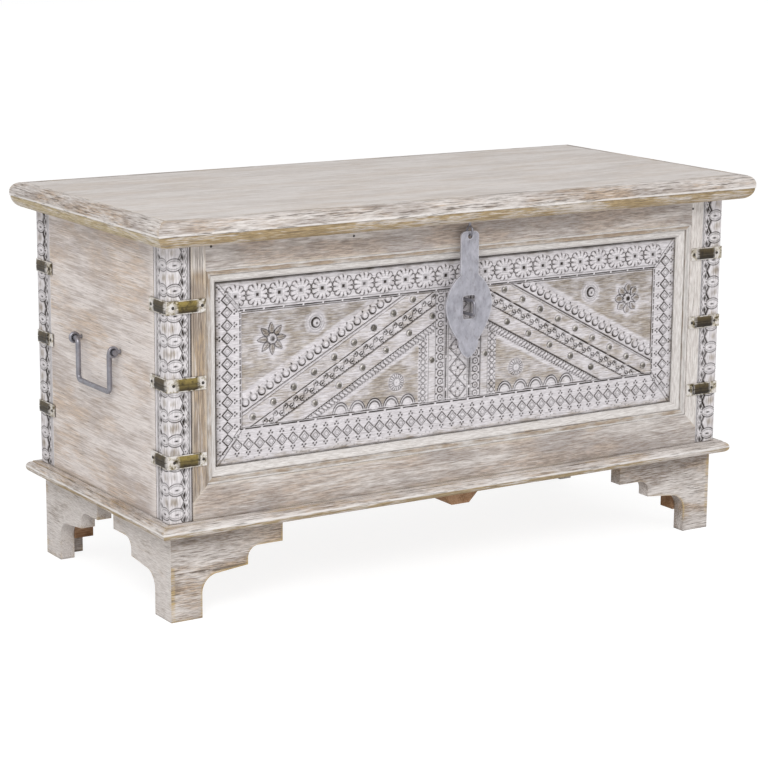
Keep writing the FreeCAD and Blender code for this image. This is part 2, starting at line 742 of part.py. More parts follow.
def knuckle(x0, x1):
    """Round barrel of a hinge leaf about the hinge axis."""
    return rod(V(x0, HINGE_Y, HINGE_Z), X_AXIS, x1 - x0, KNUCKLE_RADIUS)


def pin_hole(x0, x1):
    """Bore of a barrel for the hinge pin."""
    return rod(V(x0, HINGE_Y, HINGE_Z), X_AXIS, x1 - x0, PIN_RADIUS + PIN_CLEARANCE)


def lid_leaf_plate(side):
    """Flat of the lid's hinge leaf, sunk into the underside of the lid."""
    middle = side * HINGE_X
    return box(
        middle - HINGE_WIDTH / 2,
        middle + HINGE_WIDTH / 2,
        HINGE_Y - HINGE_LID_LEAF_DEPTH,
        HINGE_Y + HINGE_WEB_THICKNESS / 2,
        LID_BOTTOM,
        LID_BOTTOM + HINGE_LEAF_THICKNESS,
    )


def hinges():
    """Two butt hinges on the back: a leaf on the lid, a leaf on the back wall and a pin in each."""
    pieces = {}
    half = HINGE_WIDTH / 2
    inner = MIDDLE_KNUCKLE_WIDTH / 2
    outer = inner + KNUCKLE_SIDE_GAP
    for name, side in (("left", -1), ("right", 1)):
        middle = side * HINGE_X
        web = box(
            middle - inner,
            middle + inner,
            HINGE_Y - HINGE_WEB_THICKNESS / 2,
            HINGE_Y + HINGE_WEB_THICKNESS / 2,
            HINGE_Z,
            LID_BOTTOM,
        )
        upper = fused([lid_leaf_plate(side), web, knuckle(middle - inner, middle + inner)])
        pieces[f"lid_hinge_leaf_{name}"] = upper.cut(pin_hole(middle - inner, middle + inner))
        plate = box(
            middle - half,
            middle + half,
            BACK,
            BACK + HINGE_LEAF_THICKNESS,
            HINGE_Z - HINGE_BODY_LEAF_HEIGHT,
            HINGE_Z,
        )
        room = box(
            middle - outer,
            middle + outer,
            BACK,
            BACK + HINGE_LEAF_THICKNESS,
            HINGE_Z - KNUCKLE_RADIUS - KNUCKLE_CLEARANCE,
            HINGE_Z,
        )
        ends = [knuckle(middle - half, middle - outer), knuckle(middle + outer, middle + half)]
        lower = fused([plate.cut(room)] + ends)
        lower = lower.cut(pin_hole(middle - half, middle + half))
        packer = box(
            middle - half,
            middle + half,
            BACK - BACK_RECESS,
            BACK,
            HINGE_Z - HINGE_BODY_LEAF_HEIGHT,
            HINGE_Z - KNUCKLE_RADIUS - KNUCKLE_CLEARANCE,
        )
        pieces[f"body_hinge_leaf_{name}"] = fused([lower, packer])
        pieces[f"hinge_pin_{name}"] = rod(V(middle - half, HINGE_Y, HINGE_Z), X_AXIS, HINGE_WIDTH, PIN_RADIUS)
    return pieces


def eye_stem(clearance):
    """Stem of the hasp eye up into the lid."""
    foot = V(0, HASP_Y, EYE_Z + EYE_LOOP_RADIUS)
    length = LID_BOTTOM + EYE_STEM_DEPTH - foot.z + clearance
    return rod(foot, Z_AXIS, length, EYE_STEM_RADIUS + clearance)


def hasp_eye():
    """Wire loop under the lid that the hasp hangs on."""
    loop = Part.makeTorus(EYE_LOOP_RADIUS, EYE_WIRE_RADIUS, V(0, HASP_Y, EYE_Z), X_AXIS)
    return {"hasp_eye": fused([loop, eye_stem(0.0)])}


def hasp():
    """Leaf-shaped plate: neck, shoulders, waist and rounded tongue, with a hole at the top and a slot."""
    back = HASP_Y + HASP_THICKNESS / 2
    neck = HASP_NECK_WIDTH / 2
    wide = HASP_WIDTH / 2
    tongue = HASP_TONGUE_WIDTH / 2
    bulge_x = (neck + wide) / 2 + HASP_SHOULDER_DROP * 0.06
    bulge_z = (HASP_SHOULDER_TOP + HASP_WIDEST) / 2 + (wide - neck) * 0.3
    belly_x = wide - (wide - tongue) * 0.3
    belly_z = HASP_WIDEST - HASP_WAIST_DROP * 0.5
    round_x = tongue * 0.8
    round_z = HASP_WAIST - HASP_TONGUE_LENGTH * 0.55

    def at(x, z):
        """Point on the back face of the plate."""
        return V(x, back, z)

    corner = (neck - HASP_TOP_RADIUS, HASP_TOP - HASP_TOP_RADIUS)
    other = (-corner[0], corner[1])
    face = outline_face(
        at(-corner[0], HASP_TOP),
        at(corner[0], HASP_TOP),
        (arc_point(corner, HASP_TOP_RADIUS, 45, at), at(neck, corner[1])),
        at(neck, HASP_SHOULDER_TOP),
        (at(bulge_x, bulge_z), at(wide, HASP_WIDEST)),
        (at(belly_x, belly_z), at(tongue, HASP_WAIST)),
        (at(round_x, round_z), at(0, HASP_TIP)),
        (at(-round_x, round_z), at(-tongue, HASP_WAIST)),
        (at(-belly_x, belly_z), at(-wide, HASP_WIDEST)),
        (at(-bulge_x, bulge_z), at(-neck, HASP_SHOULDER_TOP)),
        at(-neck, other[1]),
        (arc_point(other, HASP_TOP_RADIUS, 135, at), at(-corner[0], HASP_TOP)),
    )
    plate = face.extrude(V(0, -HASP_THICKNESS, 0))
    slot = box(
        -HASP_SLOT_WIDTH / 2,
        HASP_SLOT_WIDTH / 2,
        back - HASP_THICKNESS,
        back,
        SLOT_Z - HASP_SLOT_HEIGHT / 2,
        SLOT_Z + HASP_SLOT_HEIGHT / 2,
    )
    corners = [edge for edge in slot.Edges if abs(edge.tangentAt(edge.FirstParameter).y) > 0.9]
    slot = slot.makeFillet(HASP_SLOT_RADIUS, corners)
    hole = rod(V(0, back, HASP_HOLE_Z), -Y_AXIS, HASP_THICKNESS, HASP_HOLE_RADIUS)
    return {"hasp": plate.cut(slot).cut(hole)}


def staple_legs():
    """Heights of the staple's two legs."""
    half = HASP_SLOT_HEIGHT / 2 - STAPLE_SLOT_GAP - STAPLE_WIRE_RADIUS
    return SLOT_Z + half, SLOT_Z - half


def staple_holes():
    """Holes through the panel for the legs of the staple."""
    inside = PANEL_FACE + PANEL_THICKNESS
    reach = PANEL_THICKNESS + STRIP_RELIEF
    radius = STAPLE_WIRE_RADIUS + STEM_CLEARANCE
    return Part.makeCompound([rod(V(0, inside, z), -Y_AXIS, reach, radius) for z in staple_legs()])


def hasp_staple():
    """Bent wire staple through the panel and the hasp's slot, leaving an eye for a padlock."""
    inside = PANEL_FACE + PANEL_THICKNESS
    nose = HASP_Y - HASP_THICKNESS / 2 - STAPLE_REACH - STAPLE_WIRE_RADIUS
    high, low = staple_legs()
    route = [V(0, inside, high), V(0, nose, high), V(0, nose, low), V(0, inside, low)]
    return {"hasp_staple": bent_rod(route, STAPLE_BEND_RADIUS, STAPLE_WIRE_RADIUS)}


def handle_eye_places():
    """Where the two eyes of a handle stand along the end wall."""
    return MIDDLE_Y - HANDLE_EYE_SPACING / 2, MIDDLE_Y + HANDLE_EYE_SPACING / 2


def handle_eyes():
    """Ring eyes with stems through the end walls."""
    ring = HANDLE_BAR_RADIUS + HANDLE_EYE_CLEARANCE + HANDLE_EYE_WIRE
    inside = SIDE_RECESS + SIDE_THICKNESS
    eyes = []
    for y in handle_eye_places():
        loop = Part.makeTorus(ring, HANDLE_EYE_WIRE, V(-HANDLE_X, y, HANDLE_Z), Y_AXIS)
        foot = V(-HANDLE_X + ring, y, HANDLE_Z)
        stem = rod(foot, X_AXIS, -HALF + inside - foot.x, HANDLE_STEM_RADIUS)
        bore = rod(
            V(-HANDLE_X, y - 2 * HANDLE_EYE_WIRE, HANDLE_Z),
            Y_AXIS,
            4 * HANDLE_EYE_WIRE,
            HANDLE_BAR_RADIUS + HANDLE_EYE_CLEARANCE,
        )
        eyes.append(fused([loop, stem]).cut(bore))
    left = Part.makeCompound(eyes)
    return {"handle_eyes_left": left, "handle_eyes_right": mirrored_x(left)}


def handles():
    """Bail handles: a bent bar whose ends turn outwards through the eyes."""
    half = HANDLE_WIDTH / 2
    pin = HANDLE_EYE_SPACING / 2 + HANDLE_EYE_WIRE + HANDLE_PIN_END

    def at(y, z):
        """Point in the plane the left handle hangs in."""
        return V(-HANDLE_X, MIDDLE_Y + y, z)

    low = HANDLE_Z - HANDLE_DROP
    route = [
        at(-pin, HANDLE_Z),
        at(-half, HANDLE_Z),
        at(-half, low),
        at(half, low),
        at(half, HANDLE_Z),
        at(pin, HANDLE_Z),
    ]
    left = bent_rod(route, HANDLE_BEND_RADIUS, HANDLE_BAR_RADIUS)
    return {"handle_left": left, "handle_right": mirrored_x(left)}


def main():
    """Builds every piece and writes one file for each."""
    os.makedirs("parts", exist_ok=True)
    builders = (
        corner_posts,
        front_frame,
        panel_moulds,
        front_panel,
        panel_studs,
        side_panels,
        back_panel,
        bottom_board,
        base_mouldings,
        feet,
        bearer,
        corner_straps,
        lid,
        hinges,
        hasp_eye,
        hasp,
        hasp_staple,
        handle_eyes,
        handles,
    )
    for build in builders:
        for node, shape in build().items():
            shape.exportStep(f"parts/{node}.step")
            print(node, len(shape.Solids), round(shape.Volume), shape.isValid())


main()
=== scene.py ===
"""Carved and whitewashed storage chest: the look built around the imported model.

Lengths in the sub-assemblies are millimetres in the model's own frame; meshes are made in metres.
"""

from __future__ import annotations

import logging
import math
from dataclasses import dataclass, field
from enum import Enum
from functools import partial
from typing import Callable, Sequence

import bmesh
import bpy
import numpy as np
from bmesh.types import BMEdge, BMesh, BMLayerItem, BMVert
from bpy.types import Material, Node, NodeSocket, NodeTree, Object
from mathutils import Matrix, Vector
from numpy import ndarray

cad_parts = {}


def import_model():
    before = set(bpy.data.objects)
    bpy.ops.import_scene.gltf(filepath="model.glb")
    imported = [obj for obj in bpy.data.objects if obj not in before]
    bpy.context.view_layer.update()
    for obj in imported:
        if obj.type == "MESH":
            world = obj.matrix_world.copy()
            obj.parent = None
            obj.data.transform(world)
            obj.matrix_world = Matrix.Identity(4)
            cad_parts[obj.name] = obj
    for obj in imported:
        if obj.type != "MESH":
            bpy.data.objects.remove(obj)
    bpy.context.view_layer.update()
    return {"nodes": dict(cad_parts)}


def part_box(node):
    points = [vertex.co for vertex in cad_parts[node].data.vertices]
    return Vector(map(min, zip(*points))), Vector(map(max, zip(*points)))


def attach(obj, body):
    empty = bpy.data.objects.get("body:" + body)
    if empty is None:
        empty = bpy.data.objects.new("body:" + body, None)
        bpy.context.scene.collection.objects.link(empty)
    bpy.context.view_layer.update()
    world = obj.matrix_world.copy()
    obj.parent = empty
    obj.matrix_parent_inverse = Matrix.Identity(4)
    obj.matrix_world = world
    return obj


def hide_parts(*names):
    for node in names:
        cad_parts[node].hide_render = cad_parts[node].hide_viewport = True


# A length and a width, a place on a face, or the start and end of a stretch
Pair = tuple[float, float]

LOG = logging.getLogger("chest")

# Where bare wood starts: over the foot of the lid's nosing and under the middle of the base, in millimetres
LID_TAN_HEIGHT = 19.0
BASE_TAN_DROP = 1.0

# Height of the joint across a foot bracket, as a share of the bracket's height
FOOT_JOINT_SHARE = 0.54

# A distance in millimetres at which no stroke of the carving reaches
FAR = 90.0

# Blender's names for the nodes that the finishes share
BUMP = "ShaderNodeBump"
MATH = "ShaderNodeMath"
MIX = "ShaderNodeMix"
NOISE = "ShaderNodeTexNoise"
OCCLUSION = "ShaderNodeAmbientOcclusion"
OUTPUT = "ShaderNodeOutputMaterial"
RANGE = "ShaderNodeMapRange"
SHADER = "ShaderNodeBsdfPrincipled"

# Settings of those nodes
COLOUR = {"data_type": "RGBA"}
SOFT = {"interpolation_type": "SMOOTHSTEP"}
ABSOLUTE = {"operation": "ABSOLUTE"}
MAXIMUM = {"operation": "MAXIMUM"}
MULTIPLY = {"operation": "MULTIPLY"}
MULTIPLY_ADD = {"operation": "MULTIPLY_ADD"}
SUBTRACT = {"operation": "SUBTRACT"}
# Occlusion settings: the first darkens hollows, dirt and painted shade together; the second finds sharp
# edges
HOLLOWS = {"samples": 6}
SHARP_EDGES = {"samples": 6, "inside": True, "only_local": True}


class Grain(Enum):
    """The way the wood's fibres run."""

    LENGTH = 0
    DEPTH = 1
    HEIGHT = 2


class Side(Enum):
    """The sides of the front panel, and the two ends of the chest."""

    TOP = "top"
    BOTTOM = "bottom"
    LEFT = "left"
    RIGHT = "right"


class Corner(Enum):
    """The four corners, as the side of the chest in X and in Y."""

    FRONT_LEFT = (-1, -1)
    FRONT_RIGHT = (1, -1)
    BACK_LEFT = (-1, 1)
    BACK_RIGHT = (1, 1)

    @property
    def node(self) -> str:
        """The ending of this corner's node names."""
        return self.name.lower()


def metres(length: float) -> float:
    """Turns millimetres into metres."""
    return length / 1000.0


def linear(colour: str) -> tuple[float, float, float, float]:
    """Turns an sRGB hex colour into linear components.

    Args:
        colour: six hex digits after a hash sign.

    Returns:
        Red, green, blue and an opacity of 1.
    """
    parts = [int(colour[i : i + 2], 16) / 255.0 for i in (1, 3, 5)]
    red, green, blue = [p / 12.92 if p <= 0.04045 else ((p + 0.055) / 1.055) ** 2.4 for p in parts]
    return red, green, blue, 1.0


def add_node(tree: NodeTree, kind: str, settings: dict[str, object] | None = None, **inputs: object) -> Node:
    """Adds a shader node with its settings, fixed values and links.

    Args:
        tree: the node tree to add to.
        kind: Blender's name for the node.
        settings: attributes of the node to set.
        inputs: input sockets by name (an underscore for a space, i0 or i6 for a place in the list), each
            with a value, an output socket to link from, or a node whose first output in use is linked.

    Returns:
        The new node.
    """
    node = tree.nodes.new(kind)
    for key, value in (settings or {}).items():
        setattr(node, key, value)
    for key, value in inputs.items():
        place = int(key[1:]) if key[0] == "i" and key[1:].isdigit() else key.replace("_", " ")
        if isinstance(value, Node):
            value = next(output for output in value.outputs if output.enabled)
        if isinstance(value, NodeSocket):
            tree.links.new(value, node.inputs[place])
        else:
            node.inputs[place].default_value = value
    return node


def span(turn: Pair, shift: float = 0.0) -> dict[str, float]:
    """Where a step over a value starts and ends, both moved by shift, as the names of its inputs."""
    return {"From_Min": turn[0] + shift, "From_Max": turn[1] + shift}


def blank_material(name: str) -> tuple[Material, NodeTree]:
    """Makes a material without nodes.

    Args:
        name: the finish's name.

    Returns:
        The material and its node tree.
    """
    material = bpy.data.materials.new(name)
    material.use_nodes = True
    material.node_tree.nodes.clear()
    return material, material.node_tree


@dataclass(frozen=True)
class Whitewash:
    """Mango wood, wire-brushed, whitewashed and rubbed back by hand: pale, streaky and dead matt.

    The wash stays in the hollows of the grain and is rubbed off in long streaks and patches, where the warm
    wood shows; edges are worn and joints keep a line of dirt. Hollows are darkened, dirt and painted shade
    together. Sizes are millimetres, a pattern's as length by width. A turn is where a soft step over a value
    starts and ends, and a rub is one counted from bare.
    """

    name: str
    grain: Grain
    wash: str = "#DFD9D5"
    wash_shade: str = "#C6BEB9"
    wood: str = "#C6AF99"
    wood_grey: str = "#B1A8A4"
    wood_dark: str = "#94877C"
    pore: str = "#645A51"
    fleck: str = "#EDE9E6"
    worn_edge: str = "#DCD1C2"
    # Colour of the hollows: dirt and painted shade together
    dirt: str = "#564C43"
    bare: float = 1.0
    spread: float = 0.17
    streaks: Pair = (34.0, 2.2)
    streak_share: float = 0.8
    patches: Pair = (160.0, 26.0)
    patch_share: float = 1.2
    clouds: Pair = (150.0, 60.0)
    cloud_turn: Pair = (0.42, 0.58)
    pores: Pair = (34.0, 1.3)
    pore_share: float = 0.41
    pore_soft: float = 0.11
    pore_strength: float = 0.6
    fleck_turn: Pair = (0.58, 0.68)
    fleck_strength: float = 0.5
    shades: Pair = (15.0, 1.6)
    shade_range: float = 0.15
    edge_size: float = 5.5
    edge_turn: Pair = (0.93, 0.55)
    edge_rub: Pair = (0.3, -0.1)
    edge_cloud: Pair = (0.43, 0.55)
    edge_strength: float = 0.6
    dirt_size: float = 6.0
    dirt_turn: Pair = (0.78, 0.3)
    dirt_strength: float = 0.85
    tan_below: float | None = None
    tan: str = "#B7A07C"
    tan_shade: str = "#93805F"
    tan_soft: float = 1.2
    tan_rub: Pair = (-0.02, 0.16)
    tan_kept: float = 0.9
    tan_pores: float = 0.4
    # A thin pale line just over the bare tan: a painted highlight
    highlight_above: float = 1.6
    highlight_turn: Pair = (2.2, 0.6)
    highlight_strength: float = 0.75
    seam: tuple[int, float] | None = None
    seam_turn: Pair = (3.4, 0.4)
    seam_rub: Pair = (0.1, -0.06)
    seam_strength: float = 0.9
    whiter: tuple[int, float, float] | None = None
    whiter_strength: float = 0.9
    # A band darkened along the piece: stain and painted shadow together
    stain_and_shadow: tuple[int, float, float] | None = None
    stain_and_shadow_strength: float = 0.75
    bump_strength: float = 0.5
    bump_depth: float = 0.8
    roughness: float = 0.8
    specular: float = 0.25

    def _fibres(self, tree: NodeTree, size: Pair, shift: float) -> Node:
        """Adds a pattern of fibres along the grain.

        Args:
            tree: the material's node tree.
            size: length and width of a fibre in millimetres.
            shift: offset that keeps two patterns apart.

        Returns:
            The pattern's node.
        """
        scale = [1000.0 / size[1]] * 3
        scale[self.grain.value] = 1000.0 / size[0]
        place = add_node(tree, "ShaderNodeTexCoord").outputs["Object"]
        moved = (shift, shift * 1.7, shift * 2.3)
        mapped = add_node(tree, "ShaderNodeMapping", Vector=place, Scale=scale, Location=moved)
        return add_node(tree, NOISE, Vector=mapped, Scale=1.0, Detail=5.0, Roughness=0.62)

    def _place(self, tree: NodeTree, axis: int) -> NodeSocket:
        """Finds one coordinate of the place on the object.

        Args:
            tree: the material's node tree.
            axis: 0, 1 or 2 for X, Y or Z.

        Returns:
            The coordinate's socket, in metres.
        """
        place = add_node(tree, "ShaderNodeTexCoord").outputs["Object"]
        return add_node(tree, "ShaderNodeSeparateXYZ", Vector=place).outputs[axis]

    def _stretch(self, tree: NodeTree, stretch: tuple[int, float, float], strength: float) -> Node:
        """Shades softly along a stretch of the piece.

        Args:
            tree: the material's node tree.
            stretch: the axis, and where along it the shade starts and is full, in millimetres.
            strength: how strong the full shade is.

        Returns:
            The node of the shade's share.
        """
        axis, start, end = stretch
        turn = span((metres(start), metres(end)))
        return add_node(tree, RANGE, SOFT, Value=self._place(tree, axis), **turn, To_Max=strength)

    def _tone(self, tree: NodeTree) -> Node:
        """Finds how light each fibre is.

        Args:
            tree: the material's node tree.

        Returns:
            The node of the lightness.
        """
        shade = self._fibres(tree, self.shades, 31.0)
        return add_node(tree, RANGE, SOFT, Value=shade, **span((-self.shade_range, self.shade_range), 0.5))

    def _open_seam(self, tree: NodeTree, coat: Node, worn: Node) -> Node:
        """Darkens a broken line where two boards meet.

        Args:
            tree: the material's node tree.
            coat: the colour so far.
            worn: how worn each place is.

        Returns:
            The node of the colour with the line.
        """
        add = partial(add_node, tree)
        axis, line = self.seam
        reach = add(MATH, ABSOLUTE, i0=self._place(tree, axis))
        off = add(MATH, ABSOLUTE, i0=add(MATH, SUBTRACT, i0=reach, i1=metres(line)))
        turn = span((metres(self.seam_turn[0]), metres(self.seam_turn[1])))
        open_joint = add(RANGE, SOFT, Value=off, **turn, To_Max=self.seam_strength)
        rubbed = add(RANGE, SOFT, Value=worn, **span(self.seam_rub, self.bare))
        broken = add(MATH, MULTIPLY, i0=open_joint, i1=rubbed)
        return add(MIX, COLOUR, i0=broken, i6=coat, i7=linear(self.pore))

    def _finished(self, tree: NodeTree, coat: Node, relief: Node) -> None:
        """Darkens the hollows, dirt and painted shade together, and ends the material in a matt shader.

        Args:
            tree: the material's node tree.
            coat: the colour so far.
            relief: height of the brushed grain.
        """
        add = partial(add_node, tree)
        # Hollows darken: dirt and painted shade together
        hollow = add(OCCLUSION, HOLLOWS, Distance=metres(self.dirt_size)).outputs["AO"]
        dirt = add(RANGE, SOFT, Value=hollow, **span(self.dirt_turn), To_Max=self.dirt_strength)
        coat = add(MIX, COLOUR, i0=dirt, i6=coat, i7=linear(self.dirt))
        bump = add(BUMP, Strength=self.bump_strength, Distance=metres(self.bump_depth), Height=relief)
        matt = {"Roughness": self.roughness, "Specular_IOR_Level": self.specular}
        add(OUTPUT, Surface=add(SHADER, Base_Color=coat, Normal=bump, **matt))

    def build(self) -> Material:
        """Makes the material.

        Returns:
            The material.
        """
        material, tree = blank_material(self.name)
        add = partial(add_node, tree)
        streak = self._fibres(tree, self.streaks, 3.0)
        patch = self._fibres(tree, self.patches, 11.0)
        pores = self._fibres(tree, self.pores, 23.0)
        cloud = self._fibres(tree, self.clouds, 47.0)
        tone = self._tone(tree)
        streaked = add(MATH, MULTIPLY, i0=streak, i1=self.streak_share)
        worn = add(MATH, MULTIPLY_ADD, i0=patch, i1=self.patch_share, i2=streaked)
        cover = add(RANGE, SOFT, Value=worn, **span((-self.spread, self.spread), self.bare))
        if self.whiter is not None:
            near = self._stretch(tree, self.whiter, self.whiter_strength)
            cover = add(MATH, MAXIMUM, i0=cover, i1=near)
        # Darkens the band under the moulding: stain and painted shadow together
        if self.stain_and_shadow is not None:
            near = self._stretch(tree, self.stain_and_shadow, self.stain_and_shadow_strength)
            cover = add(MATH, MULTIPLY, i0=cover, i1=add(MATH, SUBTRACT, i0=1.0, i1=near))
        warm = add(RANGE, SOFT, Value=cloud, **span(self.cloud_turn))
        hue = add(MIX, COLOUR, i0=warm, i6=linear(self.wood_grey), i7=linear(self.wood))
        wood = add(MIX, COLOUR, i0=tone, i6=linear(self.wood_dark), i7=hue)
        wash = add(MIX, COLOUR, i0=tone, i6=linear(self.wash_shade), i7=linear(self.wash))
        pit_turn = span((0.0, -self.pore_soft), self.pore_share)
        pit = add(RANGE, SOFT, Value=pores, **pit_turn, To_Max=self.pore_strength)
        if self.tan_below is not None:
            border = (2, self.tan_below + self.tan_soft, self.tan_below - self.tan_soft)
            low = self._stretch(tree, border, 1.0)
            rubbed = add(RANGE, SOFT, Value=worn, **span(self.tan_rub, self.bare), To_Max=self.tan_kept)
            lost = add(MATH, SUBTRACT, i0=rubbed, i1=1.0)
            cover = add(MATH, MULTIPLY, i0=cover, i1=add(MATH, MULTIPLY_ADD, i0=low, i1=lost, i2=1.0))
            rough = add(MIX, COLOUR, i0=tone, i6=linear(self.tan_shade), i7=linear(self.tan))
            wood = add(MIX, COLOUR, i0=low, i6=wood, i7=rough)
            pit = add(MATH, MULTIPLY, i0=pit, i1=add(MATH, MULTIPLY_ADD, i0=low, i1=-self.tan_pores, i2=1.0))
        coat = add(MIX, COLOUR, i0=cover, i6=wood, i7=wash)
        if self.seam is not None:
            coat = self._open_seam(tree, coat, worn)
        sharp = add(OCCLUSION, SHARP_EDGES, Distance=metres(self.edge_size)).outputs["AO"]
        edge = add(RANGE, SOFT, Value=sharp, **span(self.edge_turn), To_Max=self.edge_strength)
        for value, turn in ((worn, span(self.edge_rub, self.bare)), (cloud, span(self.edge_cloud))):
            edge = add(MATH, MULTIPLY, i0=edge, i1=add(RANGE, SOFT, Value=value, **turn))
        coat = add(MIX, COLOUR, i0=edge, i6=coat, i7=linear(self.worn_edge))
        fleck = add(RANGE, SOFT, Value=pores, **span(self.fleck_turn), To_Max=self.fleck_strength)
        coat = add(MIX, COLOUR, i0=fleck, i6=coat, i7=linear(self.fleck))
        if self.tan_below is not None:
            # A painted highlight: a thin pale line along the edge over the bare tan
            line = metres(self.tan_below + self.highlight_above)
            off = add(MATH, ABSOLUTE, i0=add(MATH, SUBTRACT, i0=self._place(tree, 2), i1=line))
            turn = span((metres(self.highlight_turn[0]), metres(self.highlight_turn[1])))
            bead = add(RANGE, SOFT, Value=off, **turn, To_Max=self.highlight_strength)
            coat = add(MIX, COLOUR, i0=bead, i6=coat, i7=linear(self.fleck))
        coat = add(MIX, COLOUR, i0=pit, i6=coat, i7=linear(self.pore))
        self._finished(tree, coat, add(MATH, SUBTRACT, i0=streak, i1=pit))
        return material


@dataclass(frozen=True)
class CarvedWash(Whitewash):
    """Chip-carved mango wood: bluish whitewash on the faces, dark patina left in the cuts.

    The mesh carries two values: patina, how dark a cut is, which in places also holds painted shade, and
    wash, how much whitewash a face keeps.
    """

    wash: str = "#E6E2E5"
    wash_shade: str = "#C6C1C4"
    wood: str = "#B9AEA2"
    wood_dark: str = "#877D73"
    cut: str = "#332D29"
    streaks: Pair = (24.0, 1.9)
    streak_share: float = 1.5
    patches: Pair = (40.0, 26.0)
    patch_share: float = 1.4
    cover_turn: Pair = (1.5, 2.25)
    uneven_turn: Pair = (0.3, 0.65)
    uneven_patina: Pair = (1.4, 0.8)
    pore_share: float = 0.44
    pore_soft: float = 0.14
    pore_strength: float = 0.5
    pores_bare: float = 1.5
    pores_washed: float = 0.8
    dirt_size: float = 4.0
    dirt_turn: Pair = (0.74, 0.3)
    bump_strength: float = 0.35
    bump_depth: float = 0.5

    def build(self) -> Material:
        """Makes the material.

        Returns:
            The material.
        """
        material, tree = blank_material(self.name)
        add = partial(add_node, tree)
        streak = self._fibres(tree, self.streaks, 3.0)
        grime = self._fibres(tree, self.patches, 11.0)
        pores = self._fibres(tree, self.pores, 23.0)
        tone = self._tone(tree)
        patina, kept = (
            add("ShaderNodeAttribute", {"attribute_name": layer}).outputs["Fac"]
            for layer in ("patina", "wash")
        )
        held = add(MATH, MULTIPLY_ADD, i0=grime, i1=self.patch_share, i2=kept)
        held = add(MATH, MULTIPLY_ADD, i0=streak, i1=self.streak_share, i2=held)
        cover = add(RANGE, SOFT, Value=held, **span(self.cover_turn))
        wood = add(MIX, COLOUR, i0=tone, i6=linear(self.wood_dark), i7=linear(self.wood))
        wash = add(MIX, COLOUR, i0=tone, i6=linear(self.wash_shade), i7=linear(self.wash))
        coat = add(MIX, COLOUR, i0=cover, i6=wood, i7=wash)
        pit_turn = span((0.0, -self.pore_soft), self.pore_share)
        pit = add(RANGE, SOFT, Value=pores, **pit_turn, To_Max=self.pore_strength)
        seen = add(MATH, MULTIPLY_ADD, i0=cover, i1=-self.pores_washed, i2=self.pores_bare)
        pit = add(MATH, MULTIPLY, i0=pit, i1=seen)
        coat = add(MIX, COLOUR, i0=pit, i6=coat, i7=linear(self.pore))
        most, least = self.uneven_patina
        uneven = add(RANGE, Value=grime, **span(self.uneven_turn), To_Min=most, To_Max=least)
        dark = add(MATH, MULTIPLY, i0=patina, i1=uneven)
        coat = add(MIX, COLOUR, i0=dark, i6=coat, i7=linear(self.cut))
        self._finished(tree, coat, streak)
        return material


